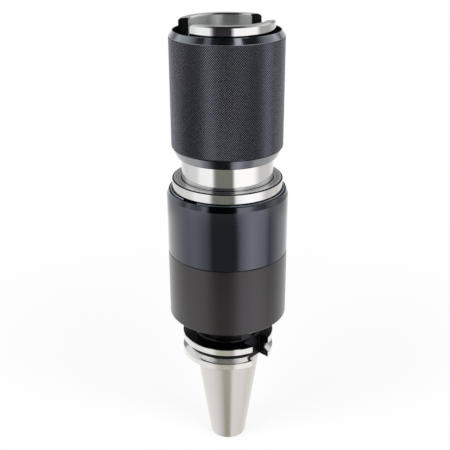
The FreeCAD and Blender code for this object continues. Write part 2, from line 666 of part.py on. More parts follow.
def make_spindle(doc):
    """Hollow spindle: adapter bore, web, spring chambers, ball tracks, ball seats and nose slots."""
    body = turned_body(doc, "spindle", [
        ("bore_r", "spindle_bottom"),
        ("spindle_thread_r", "spindle_bottom"),
        ("spindle_thread_r", "stop_ring_top"),
        ("spindle_r", "stop_ring_top"),
        ("spindle_r", "nose_step"),
        ("nose_r", "nose_step + nose_r - spindle_r"),
        ("nose_r", "seat_ring_bottom"),
        ("nose_groove_r", "seat_ring_bottom"),
        ("nose_groove_r", "washer_bottom"),
        ("nose_r", "washer_bottom"),
        ("nose_r", "stop_shoulder"),
        ("nose_groove_r", "stop_shoulder"),
        ("nose_groove_r", "stop_shoulder + retainer_thickness"),
        ("nose_r", "stop_shoulder + retainer_thickness"),
        ("nose_r", "nose_top - nose_chamfer"),
        ("nose_r - nose_chamfer", "nose_top"),
        ("bore_r + bore_chamfer", "nose_top"),
        ("bore_r", "nose_top - bore_chamfer"),
        ("bore_r", "relief_bottom + relief_width"),
        ("bore_r + relief_depth", "relief_bottom + relief_width"),
        ("bore_r + relief_depth", "relief_bottom"),
        ("bore_r", "relief_bottom"),
        ("bore_r", "stop_disc_top + retainer_thickness"),
        ("bore_groove_r", "stop_disc_top + retainer_thickness"),
        ("bore_groove_r", "stop_disc_top"),
        ("bore_r", "stop_disc_top"),
        ("bore_r", "stop_disc_bottom"),
        ("upper_chamber_r", "stop_disc_bottom"),
        ("upper_chamber_r", "web_top"),
        ("web_hole_dia / 2", "web_top"),
        ("web_hole_dia / 2", "web_bottom"),
        ("bore_r", "web_bottom"),
    ])
    volume = solid_volume(body)

    track = raised_sketch(body, "inner_track_outline", "XY_Plane", "inner_track_bottom")
    draw_circle(track, "ball_circle_r", "0", "ball_groove_r")
    feature = cut(body, "inner_track", track, "inner_track_top - inner_track_bottom", True)
    volume = check_cut(body, volume)
    repeat_round(body, feature, "torque_ball_rows")
    volume = check_cut(body, volume)

    cup = body.newObject("PartDesign::SubtractiveSphere", "ball_cup")
    bind(cup, "Radius", "lock_ball_hole_r")
    bind(cup, "Placement.Base.y", "lock_ball_centre")
    bind(cup, "Placement.Base.z", "lock_ball_station")
    volume = check_cut(body, volume)
    repeat_round(body, cup, "lock_ball_count")
    volume = check_cut(body, volume)

    mouth = raised_sketch(body, "ball_mouth_outline", "XZ_Plane", "-lock_ball_centre")
    draw_circle(mouth, "0", "lock_ball_station", "lock_ball_hole_r")
    feature = cut(body, "ball_mouth", mouth, "lock_ball_r + lock_ball_bite")
    volume = check_cut(body, volume)
    repeat_round(body, feature, "lock_ball_count")
    volume = check_cut(body, volume)

    slot = raised_sketch(body, "nose_slot_outline", "XY_Plane", "nose_top")
    draw_outline(slot, block("-2 * nose_r", "2 * nose_r", "-nose_slot_width / 2", "nose_slot_width / 2"))
    cut(body, "nose_slot", slot, "nose_slot_depth")
    volume = check_cut(body, volume)

    bevel = raised_sketch(body, "nose_slot_bevel_outline", "YZ_Plane", "-2 * nose_r")
    draw_outline(bevel, [
        ("-nose_slot_width / 2 - nose_slot_chamfer", "nose_top"),
        ("-nose_slot_width / 2", "nose_top - nose_slot_chamfer"),
        ("nose_slot_width / 2", "nose_top - nose_slot_chamfer"),
        ("nose_slot_width / 2 + nose_slot_chamfer", "nose_top"),
    ])
    cut(body, "nose_slot_bevel", bevel, "4 * nose_r", True)
    check_cut(body, volume)
    line_up(body)
    return body


def make_spindle_stop_ring(doc):
    """Ring nut on the spindle's lower end, with a radial hole for its locking screw."""
    body = turned_body(doc, "spindle_stop_ring", [
        ("spindle_thread_r + fixed_clearance", "spindle_bottom"),
        ("stop_ring_r - bolt_edge", "spindle_bottom"),
        ("stop_ring_r", "spindle_bottom + bolt_edge"),
        ("stop_ring_r", "stop_ring_top - bolt_edge"),
        ("stop_ring_r - bolt_edge", "stop_ring_top"),
        ("spindle_thread_r + fixed_clearance", "stop_ring_top"),
    ])
    volume = solid_volume(body)
    hole = new_sketch(body, "grub_screw_hole_outline", "YZ_Plane")
    draw_circle(hole, "0", "grub_screw_station", "grub_screw_r + fixed_clearance")
    cut(body, "grub_screw_hole", hole, "2 * stop_ring_r", True)
    check_cut(body, volume)
    line_up(body)
    return body


def make_grub_screw(doc):
    """Screw that locks the ring nut on its thread."""
    body = new_body(doc, "grub_screw")
    sketch = raised_sketch(body, "grub_screw_outline", "YZ_Plane", "spindle_thread_r + fixed_clearance")
    draw_circle(sketch, "0", "grub_screw_station", "grub_screw_r")
    pad = body.newObject("PartDesign::Pad", "grub_screw_length")
    pad.Profile = sketch
    bind(pad, "Length", "stop_ring_r - spindle_thread_r - bolt_edge")
    line_up(body)
    return body


def make_bore_stop_disc(doc):
    """Disc that closes the adapter bore above the spring chamber."""
    return turned_body(doc, "bore_stop_disc", block(
        "stop_disc_hole_dia / 2", "bore_r - fixed_clearance", "stop_disc_bottom", "stop_disc_top"))


def make_flat_rings(doc):
    """The open retaining rings: over the bore stop, under the spring seat and over the sleeve."""
    return [
        open_ring(doc, "bore_snap_ring", block(
            "bore_r - retainer_reach", "bore_groove_r - fixed_clearance",
            "stop_disc_top", "stop_disc_top + retainer_thickness"), "ring_gap_angle"),
        open_ring(doc, "spring_seat_ring", block(
            "nose_groove_r + fixed_clearance", "nose_r + retainer_reach",
            "seat_ring_bottom", "washer_bottom"), "ring_gap_angle"),
        open_ring(doc, "sleeve_stop_ring", block(
            "nose_groove_r + fixed_clearance", "sleeve_bore_r - stop_ring_gap",
            "stop_shoulder", "stop_shoulder + retainer_thickness"), "ring_gap_angle"),
    ]


def make_spring_seat_washer(doc):
    """Seat of the sleeve's spring, which also guides the sleeve's bore."""
    return turned_body(doc, "spring_seat_washer", block(
        "nose_r + fixed_clearance", "sleeve_bore_r - running_clearance", "washer_bottom", "sleeve_spring_seat"))


def make_sleeve_spring(doc, sheet, sleeve):
    """Spring that returns the release sleeve, between its washer and the sleeve's land.

    Its wire fills the room between spindle and sleeve, also in the middle of each straight length.
    """
    corners = [(math.hypot(vertex.X, vertex.Y), vertex.Z) for vertex in sleeve.Shape.Vertexes]
    nose_radius = spindle_radius(sheet) + sheet.nose_rise
    land_foot = min(z for radius, z in corners if radius < nose_radius + 2 * sheet.running_clearance)
    sleeve_bore = min(radius for radius, z in corners if z < land_foot - sheet.seat_gap)
    outer_radius = sleeve_bore - sheet.sleeve_spring_room
    inner_radius = (nose_radius + sheet.seat_gap) / math.cos(math.pi / SPRING_STEPS)
    return coil_spring(
        doc, "sleeve_spring", outer_radius, outer_radius - inner_radius,
        sheet.sleeve_spring_seat + sheet.seat_gap, land_foot - sheet.seat_gap, sheet.sleeve_spring_turns)


# The ball cage between spindle and barrel

def make_ball_cage(doc, sheet):
    """Tube with a round window for each torque ball."""
    body = turned_body(doc, "ball_cage", block(
        "spindle_r + cage_side_gap", "cage_bore_r - cage_side_gap", "cage_bottom", "cage_top"))
    volume = solid_volume(body)
    windows = new_sketch(body, "ball_windows_outline", "YZ_Plane")
    for index in range(int(sheet.torque_balls_per_row)):
        draw_circle(windows, "0", row_station(index), "ball_groove_r")
    feature = cut(body, "ball_windows", windows, "cage_bore_r", True)
    volume = check_cut(body, volume)
    repeat_round(body, feature, "torque_ball_rows")
    check_cut(body, volume)
    line_up(body)
    return body


def row_station(index):
    """Give the height of a torque ball in its row."""
    return "cage_middle + (" + str(index) + " - (torque_balls_per_row - 1) / 2) * torque_ball_pitch"


def make_torque_balls(doc, sheet):
    """The balls that carry the torque from the barrel to the spindle, as one group."""
    balls = []
    for row in range(int(sheet.torque_ball_rows)):
        angle = "nose_slot_direction + 360 * " + str(row) + " / torque_ball_rows"
        for index in range(int(sheet.torque_balls_per_row)):
            name = "torque_ball_" + str(row + 1) + "_" + str(index + 1)
            balls.append(ball(doc, name, "torque_ball_r", "ball_circle_r", angle, row_station(index)))
    group = doc.addObject("Part::Compound", "torque_balls")
    group.Label = "torque_balls"
    group.Links = balls
    return group


# The quick-change release

def make_locking_balls(doc, sheet):
    """The balls that lock the adapter, each of which moves by itself."""
    balls = []
    for index in range(int(sheet.lock_ball_count)):
        angle = "nose_slot_direction + 90 + 360 * " + str(index) + " / lock_ball_count"
        name = "locking_ball_" + str(index + 1)
        balls.append(ball(doc, name, "lock_ball_r", "lock_ball_centre", angle, "lock_ball_station"))
    return balls


def make_release_sleeve(doc):
    """Sleeve whose ramp holds the locking balls in, and lets them out when it is pulled back."""
    return turned_body(doc, "release_sleeve", [
        ("sleeve_bore_r", "knurl_bottom"),
        ("sleeve_r - sleeve_edge", "knurl_bottom"),
        ("sleeve_r", "knurl_bottom + sleeve_edge"),
        ("sleeve_r", "sleeve_shoulder"),
        ("rim_r", "sleeve_top"),
        ("sleeve_bore_r", "sleeve_top"),
        ("sleeve_bore_r", "stop_shoulder - running_clearance"),
        ("shoulder_r", "stop_shoulder - running_clearance"),
        ("shoulder_r", "ramp_head"),
        ("nose_guide_r", "ramp_foot"),
        ("nose_guide_r", "land_foot"),
        ("sleeve_bore_r", "land_foot"),
    ])


def make_sleeve_end_ring(doc):
    """Smooth taper ring in the sleeve's lower end, which guides it on the spindle."""
    return turned_body(doc, "sleeve_end_ring", [
        ("guide_r", "sleeve_bottom + end_ring_edge"),
        ("guide_r + end_ring_edge", "sleeve_bottom"),
        ("end_ring_r - end_ring_edge", "sleeve_bottom"),
        ("end_ring_r", "sleeve_bottom + end_ring_edge"),
        ("end_ring_wide_r", "knurl_bottom"),
        ("sleeve_bore_r - fixed_clearance", "knurl_bottom"),
        ("sleeve_bore_r - fixed_clearance", "end_ring_top"),
        ("guide_r", "end_ring_top"),
    ])


def make_parts(doc, sheet):
    """Make every node of the assembly, and give them in a list."""
    shank = make_taper_shank(doc, sheet)
    barrel = make_housing_barrel(doc)
    fixed = [
        make_guide_collar(doc),
        make_spindle_wiper(doc),
        make_collar_snap_ring(doc),
        make_tie_bolt(doc),
        make_spring_plate(doc),
    ]
    springs = make_compensation_springs(doc, sheet)
    spindle = make_spindle(doc)
    on_spindle = [
        make_spindle_stop_ring(doc),
        make_grub_screw(doc),
        make_bore_stop_disc(doc),
        make_spring_seat_washer(doc),
    ]
    rings = make_flat_rings(doc)
    cage = make_ball_cage(doc, sheet)
    torque_balls = make_torque_balls(doc, sheet)
    locking_balls = make_locking_balls(doc, sheet)
    sleeve = make_release_sleeve(doc)
    end_ring = make_sleeve_end_ring(doc)
    doc.recompute()
    sleeve_spring = make_sleeve_spring(doc, sheet, sleeve)
    return (
        [shank, barrel] + fixed + springs + [spindle] + on_spindle + rings
        + [cage, torque_balls] + locking_balls + [sleeve, end_ring, sleeve_spring]
    )


def check_document(doc, parts):
    """Stop if any object failed, or if a part has no valid shape."""
    doc.recompute()
    for item in doc.Objects:
        if "Invalid" in item.State or "Error" in item.State:
            raise RuntimeError(item.Label + " is not up to date")
    for part in parts:
        if part.Shape.isNull() or not part.Shape.isValid():
            raise RuntimeError(part.Label + " has no valid shape")


def main():
    """Build the holder and write each part to its own file."""
    doc = FreeCAD.newDocument("tap_holder")
    sheet = make_sheet(doc)
    parts = make_parts(doc, sheet)
    check_document(doc, parts)
    os.makedirs("parts", exist_ok=True)
    for part in parts:
        part.Shape.exportStep(os.path.join("parts", part.Label + ".step"))
        print(part.Label, round(part.Shape.Volume, 1), len(part.Shape.Solids))


main()
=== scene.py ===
"""Visual model of a quick-change tap holder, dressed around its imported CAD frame.

The holder's sizes are in millimetres and are turned to metres when a mesh is made. Every piece stands in
the frame of the CAD: +Z runs along the axis from the taper to the nose, and z = 0 is the gauge plane.
"""

from __future__ import annotations

import json
import logging
import math
from dataclasses import dataclass
from enum import Enum
from typing import Any

import bmesh
import bpy
from bpy.types import Material, Mesh, Node, NodeSocket, NodeTree, Object
from mathutils import Matrix, Quaternion, Vector

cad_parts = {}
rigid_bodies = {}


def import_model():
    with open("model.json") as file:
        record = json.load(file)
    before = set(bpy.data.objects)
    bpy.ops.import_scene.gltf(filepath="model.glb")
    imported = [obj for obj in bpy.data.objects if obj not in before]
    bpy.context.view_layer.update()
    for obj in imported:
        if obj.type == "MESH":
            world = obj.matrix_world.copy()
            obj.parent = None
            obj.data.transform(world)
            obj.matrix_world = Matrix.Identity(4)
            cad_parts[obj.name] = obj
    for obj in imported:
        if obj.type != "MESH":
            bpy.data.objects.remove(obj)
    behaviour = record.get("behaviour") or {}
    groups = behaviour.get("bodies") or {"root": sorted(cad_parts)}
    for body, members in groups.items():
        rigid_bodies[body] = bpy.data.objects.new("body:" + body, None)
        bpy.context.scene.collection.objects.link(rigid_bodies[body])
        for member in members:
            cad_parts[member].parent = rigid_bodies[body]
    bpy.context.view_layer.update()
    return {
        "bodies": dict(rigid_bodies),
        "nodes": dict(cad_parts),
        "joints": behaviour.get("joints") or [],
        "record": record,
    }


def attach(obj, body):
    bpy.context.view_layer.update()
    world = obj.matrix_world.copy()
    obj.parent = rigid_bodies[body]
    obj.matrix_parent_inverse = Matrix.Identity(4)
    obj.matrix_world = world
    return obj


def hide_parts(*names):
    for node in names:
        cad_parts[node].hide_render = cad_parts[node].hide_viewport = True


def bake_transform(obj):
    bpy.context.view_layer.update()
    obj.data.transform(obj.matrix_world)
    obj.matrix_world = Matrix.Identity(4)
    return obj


log = logging.getLogger("tap_holder")

MM = 0.001
TURN = 2 * math.pi
SEGMENTS = 256
FILLET_STEPS = 14
# A corner closer to the axis than this is a single point.
ON_AXIS = 1e-6
# A broken edge takes less than half of each side, so that two of them never meet.
EDGE_SHARE = 0.45
# Turned pieces keep every corner of their section crisp, down to the one between taper and gauge line.
TURNED_SHARP = math.radians(8)
SHARP_ANGLE = math.radians(24)
# Milling leaves edges to break where two faces meet at more than this.
MILLED_EDGE = math.radians(50)
# How fast the tool lines change on their way round the axis, per metre.
LINE_WANDER = 9.0

PHOTO_AZIMUTH = math.radians(43)
TOWARDS_CAMERA = Vector((math.sin(PHOTO_AZIMUTH), -math.cos(PHOTO_AZIMUTH), 0))
CAMERA_RIGHT = Vector((math.cos(PHOTO_AZIMUTH), math.sin(PHOTO_AZIMUTH), 0))


# Finishes


def linear(colour: str) -> tuple[float, float, float, float]:
    """Turn an sRGB hex colour into linear light.

    Args:
        colour: Six hex digits after a hash sign.

    Returns:
        Red, green, blue and a full alpha.
    """
    parts = [int(colour[place:place + 2], 16) / 255 for place in (1, 3, 5)]
    light = [part / 12.92 if part <= 0.04045 else ((part + 0.055) / 1.055) ** 2.4 for part in parts]
    return (light[0], light[1], light[2], 1.0)


def add_node(
    tree: NodeTree,
    kind: str,
    settings: dict[str, Any] | None = None,
    inputs: dict[str | int, Any] | None = None,
) -> Node:
    """Add a shader node with its settings and links.

    Args:
        tree: The node tree to add to.
        kind: The node's type, without its ShaderNode prefix.
        settings: Values of the node's own properties.
        inputs: A value, or an output socket to link from, for each input by name or place.

    Returns:
        The new node.
    """
    node = tree.nodes.new("ShaderNode" + kind)
    for name, value in (settings or {}).items():
        setattr(node, name, value)
    for name, value in (inputs or {}).items():
        if isinstance(value, NodeSocket):
            tree.links.new(value, node.inputs[name])
        else:
            node.inputs[name].default_value = value
    return node


def empty_tree(owner: Material | bpy.types.World) -> NodeTree:
    """Give a material or world a node tree with nothing in it."""
    owner.use_nodes = True
    owner.node_tree.nodes.clear()
    return owner.node_tree


def cylinder_axes(tree: NodeTree) -> tuple[NodeSocket, ...]:
    """Give sockets for the X, Y and Z of the point that is shaded, and for its distance from the axis."""
    place = add_node(tree, "TexCoord").outputs["Object"]
    axes = add_node(tree, "SeparateXYZ", inputs={0: place}).outputs
    flat = add_node(tree, "CombineXYZ", inputs={0: axes[0], 1: axes[1]}).outputs[0]
    radius = add_node(tree, "VectorMath", {"operation": "LENGTH"}, {0: flat}).outputs["Value"]
    return axes[0], axes[1], axes[2], radius


def tool_line_coordinate(tree: NodeTree, pitch: float) -> NodeSocket:
    """Give a coordinate that runs fast across the lines a lathe or grinder leaves round the axis.

    Args:
        tree: The node tree to add to.
        pitch: Spacing of the lines in millimetres.

    Returns:
        The vector socket, one unit per line.
    """
    x, y, z, radius = cylinder_axes(tree)
    along = add_node(tree, "Math", {"operation": "ADD"}, {0: radius, 1: z}).outputs[0]
    line = add_node(tree, "Math", {"operation": "MULTIPLY"}, {0: along, 1: 1 / (pitch * MM)}).outputs[0]
    wander = [add_node(tree, "Math", {"operation": "MULTIPLY"}, {0: side, 1: LINE_WANDER}) for side in (x, y)]
    return add_node(tree, "CombineXYZ", inputs={
        0: wander[0].outputs[0], 1: wander[1].outputs[0], 2: line}).outputs[0]


@dataclass(frozen=True)
class PlainFinish:
    """A surface with no tool lines.

    Attributes:
        name: The material's name.
        colour: sRGB hex colour, on a metal that of a full reflection.
        roughness: Mean roughness.
        metallic: 1 for metal, 0 for rubber.
    """

    name: str
    colour: str
    roughness: float
    metallic: float = 1.0

    def shader(self, tree: NodeTree) -> Node:
        """Add the surface's shader to a tree."""
        return add_node(tree, "BsdfPrincipled", inputs={
            "Base Color": linear(self.colour), "Metallic": self.metallic, "Roughness": self.roughness})

    def material(self) -> Material:
        """Make the material, or give the one made before."""
        made = bpy.data.materials.get(self.name)
        if made is None:
            made = bpy.data.materials.new(self.name)
            tree = empty_tree(made)
            shader = self.shader(tree)
            add_node(tree, "OutputMaterial", inputs={"Surface": shader.outputs[0]})
        return made


@dataclass(frozen=True, kw_only=True)
class SteelFinish(PlainFinish):
    """A steel surface as its last tool or bath left it.

    Real tool lines are 0.02 to 0.2 mm apart, too fine to show, so they are drawn coarser here.

    Attributes:
        pitch: Spacing of the tool lines in millimetres.
        depth: Height of the tool lines in millimetres.
        spread: How much the lines change the roughness.
        tint: sRGB hex colour of the slow mottling, or empty for none.
        anisotropic: Stretch of the highlight across the tool lines.
        coat: Weight of the oil film on it.
    """

    pitch: float = 0.5
    depth: float = 0.0001
    spread: float = 0.02
    tint: str = ""
    anisotropic: float = 0.0
    coat: float = 0.0

    def shader(self, tree: NodeTree) -> Node:
        """Add the surface's shader to a tree."""
        lines = add_node(tree, "TexNoise", inputs={
            "Vector": tool_line_coordinate(tree, self.pitch), "Scale": 1.0, "Detail": 3.0})
        rough = add_node(tree, "MapRange", inputs={
            "Value": lines.outputs["Fac"], "From Min": 0.3, "From Max": 0.7,
            "To Min": self.roughness - self.spread, "To Max": self.roughness + self.spread})
        bump = add_node(tree, "Bump", inputs={
            "Height": lines.outputs["Fac"], "Strength": 1.0, "Distance": self.depth * MM})
        # The lines run round the axis, so a reflection smears across them, a quarter turn from the tangent.
        tangent = add_node(tree, "Tangent", {"direction_type": "RADIAL", "axis": "Z"})
        shader = add_node(tree, "BsdfPrincipled", inputs={
            "Base Color": linear(self.colour), "Metallic": self.metallic, "Roughness": rough.outputs[0],
            "Normal": bump.outputs[0], "Anisotropic": self.anisotropic, "Anisotropic Rotation": 0.25,
            "Tangent": tangent.outputs[0], "Coat Weight": self.coat, "Coat Roughness": self.roughness})
        if self.tint:
            place = add_node(tree, "TexCoord").outputs["Object"]
            cloud = add_node(tree, "TexNoise", inputs={"Vector": place, "Scale": 28.0, "Detail": 4.0})
            blend = add_node(tree, "Mix", {"data_type": "RGBA"}, {
                "Factor": cloud.outputs["Fac"], 6: linear(self.colour), 7: linear(self.tint)})
            tree.links.new(blend.outputs[2], shader.inputs["Base Color"])
        return shader


@dataclass(frozen=True)
class KnurlFinish(PlainFinish):
    """Oxide over a knurl, in the main colour on its crests and darker in its grooves, where the darkening is
    painted shade.

    Attributes:
        groove_colour: sRGB hex colour of the painted shade in the grooves.
        crest: Radius of the crests in millimetres.
        groove: Radius of the grooves in millimetres.
    """

    groove_colour: str = "#3c3d42"
    crest: float = 36.14
    groove: float = 35.72

    def shader(self, tree: NodeTree) -> Node:
        """Add the surface's shader to a tree."""
        radius = cylinder_axes(tree)[3]
        # Painted shade: the colour darkens from the crests down into the grooves.
        out_of_groove_shade = add_node(tree, "MapRange", {"interpolation_type": "SMOOTHSTEP"}, {
            "Value": radius, "From Min": self.groove * MM, "From Max": self.crest * MM})
        colour = add_node(tree, "Mix", {"data_type": "RGBA"}, {
            "Factor": out_of_groove_shade.outputs[0], 6: linear(self.groove_colour), 7: linear(self.colour)})
        return add_node(tree, "BsdfPrincipled", inputs={
            "Base Color": colour.outputs[2], "Metallic": self.metallic, "Roughness": self.roughness})


class Finish(Enum):
    """The finishes of the holder's pieces."""

    # Hardened steel, cylindrically ground: a bright satin whose reflections smear a little along the axis.
    GROUND = SteelFinish(
        "ground_hardened_steel", "#fdfcfb", 0.09, pitch=0.35, depth=0.00004, spread=0.015, anisotropic=0.6)
    # The adapter bore is honed: duller than the ground outside, with its lines running round.
    BORE = SteelFinish("honed_hardened_steel", "#fcfefc", 0.4, depth=0.00001, spread=0.01, anisotropic=0.95)
    # The taper's cone is ground, and its oil film gives a warm grey.
    GROUND_TAPER = SteelFinish(
        "ground_taper_steel", "#e4e0de", 0.25, pitch=0.4, depth=0.00003, spread=0.015, anisotropic=0.6)
    # Hard-turned steel on flange lands and faces.
    TURNED = SteelFinish("hard_turned_steel", "#f2f1ef", 0.14, depth=0.0002, spread=0.03)
    # Turned face of the collar, with deeper lines.
    TURNED_FACE = SteelFinish("turned_face_steel", "#dededf", 0.22, pitch=1.1, depth=0.003, spread=0.1)
    # The same, darker: painted shade in the gap round the spindle, and deep in the bore.
    TURNED_DARK = SteelFinish("turned_steel_painted_shade", "#bcbcbe", 0.24, pitch=1.1, depth=0.003, spread=0.1)
    # Ground, then black oxide: glossy blue-black.
    OXIDE_GLOSS = SteelFinish("black_oxide_on_ground_steel", "#666973", 0.09, tint="#5f626a", coat=0.5)
    # The same on the sleeve's bevel, made much lighter: painted sheen for the white that the bevel reflects.
    OXIDE_WORN = SteelFinish("black_oxide_with_painted_sheen", "#a9adb4", 0.12)
    # The same on the sleeve's foot ring, a little less light: painted sheen for what its cone reflects.
    OXIDE_RUBBED = SteelFinish("black_oxide_with_soft_painted_sheen", "#94979d", 0.12)
    # Turned, then black oxide: a satin brownish black.
    OXIDE_SATIN = SteelFinish(
        "black_oxide_on_turned_steel", "#4f4f54", 0.3, pitch=0.6, depth=0.0002, tint="#4b4543", coat=0.6)
    # Black oxide on turned faces that nothing has rubbed: a deep black with a soft gloss.
    OXIDE_DEEP = SteelFinish(
        "black_oxide_on_faced_steel", "#3a3b3e", 0.27, pitch=0.8, depth=0.0006, spread=0.06)
    # Black oxide on milled flanks: nearly matt.
    OXIDE_MATT = SteelFinish(
        "black_oxide_on_milled_steel", "#2b2c2f", 0.42, pitch=0.8, depth=0.001, spread=0.06)
    # Black oxide over the knurl, in its colour on the crests, with painted shade darkening the grooves.
    OXIDE_KNURL = KnurlFinish("black_oxide_on_knurled_steel", "#b3b6c2", 0.26)
    # Oil-tempered spring steel: blue-grey.
    SPRING = PlainFinish("oil_tempered_spring_steel", "#a3adbb", 0.32)
    # Quenched alloy screws, black from the furnace.
    SCREW = PlainFinish("blackened_alloy_steel", "#3c3d40", 0.38)
    # Bearing balls: lapped to a mirror.
    BALL = PlainFinish("lapped_bearing_steel", "#dcdcda", 0.06)
    # Cage of turned brass.
    BRASS = PlainFinish("turned_brass", "#d8b26a", 0.25)
    # Nitrile rubber of the wiper: black, dull.
    RUBBER = PlainFinish("nitrile_rubber", "#1b1b1c", 0.6, 0.0)


# Meshes


@dataclass(frozen=True)
class Corner:
    """One corner of a turned piece's half section.

    Attributes:
        radius: Distance from the axis.
        height: Height above the gauge plane.
        finish: Finish of the surface from this corner to the next.
        edge: Size of the broken edge at this corner.
    """

    radius: float
    height: float
    finish: Finish
    edge: float = 0.0


def run(finish: Finish, *places: tuple[float, float]) -> list[Corner]:
    """Give the corners of a run of surfaces with one finish, each by its radius and height."""
    return [Corner(radius, height, finish) for radius, height in places]


def around(radius: float, angle: float, height: float) -> Vector:
    """Give the point at a radius, an angle round the axis and a height."""
    return Vector((radius * math.cos(angle), radius * math.sin(angle), height))


def break_edges(corners: list[Corner]) -> list[Corner]:
    """Replace each corner that has an edge size by the two ends of a small chamfer."""
    broken: list[Corner] = []
    for index, corner in enumerate(corners):
        if corner.edge == 0:
            broken.append(corner)
            continue
        here = Vector((corner.radius, corner.height))
        before, after = corners[index - 1], corners[(index + 1) % len(corners)]
        for other, finish in ((before, before.finish), (after, corner.finish)):
            way = Vector((other.radius, other.height)) - here
            point = here + way.normalized() * min(corner.edge, way.length * EDGE_SHARE)
            broken.append(Corner(point.x, point.y, finish))
    return broken


def fillet(x: float, z: float, radius: float, start: float, end: float, finish: Finish) -> list[Corner]:
    """Give the corners of a fillet's arc round a centre, with its angles in degrees from outward."""
    angles = [math.radians(start + (end - start) * step / FILLET_STEPS) for step in range(FILLET_STEPS + 1)]
    return run(finish, *((x + radius * math.cos(angle), z + radius * math.sin(angle)) for angle in angles))


def new_mesh(
    name: str, points: list[Vector], faces: list[tuple[int, ...]], slots: list[int] | None = None,
) -> Mesh:
    """Make a mesh from its points in metres, its faces, and the material slot of each face."""
    mesh = bpy.data.meshes.new(name)
    mesh.from_pydata(points, [], faces)
    if slots:
        mesh.polygons.foreach_set("material_index", slots)
    return mesh


def add_object(name: str, data: bpy.types.ID) -> Object:
    """Put a mesh, lamp or camera in the scene as a new object."""
    made = bpy.data.objects.new(name, data)
    bpy.context.scene.collection.objects.link(made)
    return made


def finish_mesh(mesh: Mesh, sharp_angle: float = SHARP_ANGLE) -> None:
    """Point all faces outward and shade them smooth between the sharp edges."""
    work = bmesh.new()
    work.from_mesh(mesh)
    bmesh.ops.recalc_face_normals(work, faces=work.faces)
    work.to_mesh(mesh)
    work.free()
    mesh.shade_smooth()
    mesh.set_sharp_from_angle(angle=sharp_angle)


def add_piece(name: str, mesh: Mesh, finishes: list[Finish]) -> Object:
    """Put a mesh in the scene as a piece, with its finishes as material slots."""
    for finish in finishes:
        mesh.materials.append(finish.value.material())
    return add_object(name, mesh)


def turned_piece(name: str, corners: list[Corner]) -> Object:
    """Turn a half section about the axis.

    Args:
        name: The piece's name.
        corners: The closed half section, in order. Corners on the axis become single points.

    Returns:
        The new piece.
    """
    section = break_edges(corners)
    finishes = list(dict.fromkeys(corner.finish for corner in section))
    points: list[Vector] = []
    rings: list[list[int]] = []
    for corner in section:
        count = 1 if corner.radius < ON_AXIS else SEGMENTS
        rings.append([len(points) + place for place in range(count)])
        angles = [TURN * place / SEGMENTS for place in range(count)]
        points += [around(corner.radius, angle, corner.height) * MM for angle in angles]
    faces: list[tuple[int, ...]] = []
    slots: list[int] = []
    for index, corner in enumerate(section):
        low, high = rings[index], rings[(index + 1) % len(rings)]
        if len(low) == len(high) == 1:
            continue
        for place in range(SEGMENTS):
            after = (place + 1) % SEGMENTS
            if len(low) == 1:
                faces.append((low[0], high[after], high[place]))
            elif len(high) == 1:
                faces.append((low[place], low[after], high[0]))
            else:
                faces.append((low[place], low[after], high[after], high[place]))
            slots.append(finishes.index(corner.finish))
    mesh = new_mesh(name, points, faces, slots)
    finish_mesh(mesh, TURNED_SHARP)
    return add_piece(name, mesh, finishes)


def wire_along(name: str, path: list[Vector], radius: float, sides: int) -> Object:
    """Sweep a round spring wire along a path round the Z axis, in millimetres, with flat ends."""
    points: list[Vector] = []
    last = len(path) - 1
    for index, point in enumerate(path):
        way = (path[min(index + 1, last)] - path[max(index - 1, 0)]).normalized()
        outward = Vector((point.x, point.y, 0)).normalized()
        upward = way.cross(outward).normalized()
        outward = upward.cross(way)
        for side in range(sides):
            angle = TURN * side / sides
            points.append((point + (outward * math.cos(angle) + upward * math.sin(angle)) * radius) * MM)
    faces: list[tuple[int, ...]] = []
    for low in range(0, last * sides, sides):
        for side in range(sides):
            after = (side + 1) % sides
            faces.append((low + side, low + after, low + sides + after, low + sides + side))
    faces.append(tuple(range(sides)))
    faces.append(tuple(last * sides + side for side in range(sides)))
    mesh = new_mesh(name, points, faces)
    finish_mesh(mesh)
    return add_piece(name, mesh, [Finish.SPRING])


def add_cutter(mesh: Mesh, slot: int) -> Object:
    """Put a mesh in the scene as a cutter, whose surfaces take a material slot of the piece it cuts."""
    mesh.polygons.foreach_set("material_index", [slot] * len(mesh.polygons))
    finish_mesh(mesh)
    return add_object("cutter", mesh)


def prism(
    outline: list[tuple[float, float]], start: float, end: float, frame: Matrix, slot: int,
) -> Object:
    """Make a cutter: an outline pushed along its frame's X axis.

    Args:
        outline: Points across and up, in millimetres.
        start: Where the prism starts along the frame's X axis.
        end: Where it ends.
        frame: Turns the cutter into place.
        slot: Material slot that the cut surfaces take.

    Returns:
        The cutter.
    """
    count = len(outline)
    points = [frame @ (Vector((along, across, up)) * MM) for along in (start, end) for across, up in outline]
    faces = [tuple(range(count)), tuple(range(count, 2 * count))]
    faces += [(i, (i + 1) % count, (i + 1) % count + count, i + count) for i in range(count)]
    mesh = new_mesh("cutter", points, faces)
    # Empty slots, so that the cut surfaces can have the number of a later slot.
    for _ in range(slot + 1):
        mesh.materials.append(None)
    return add_cutter(mesh, slot)


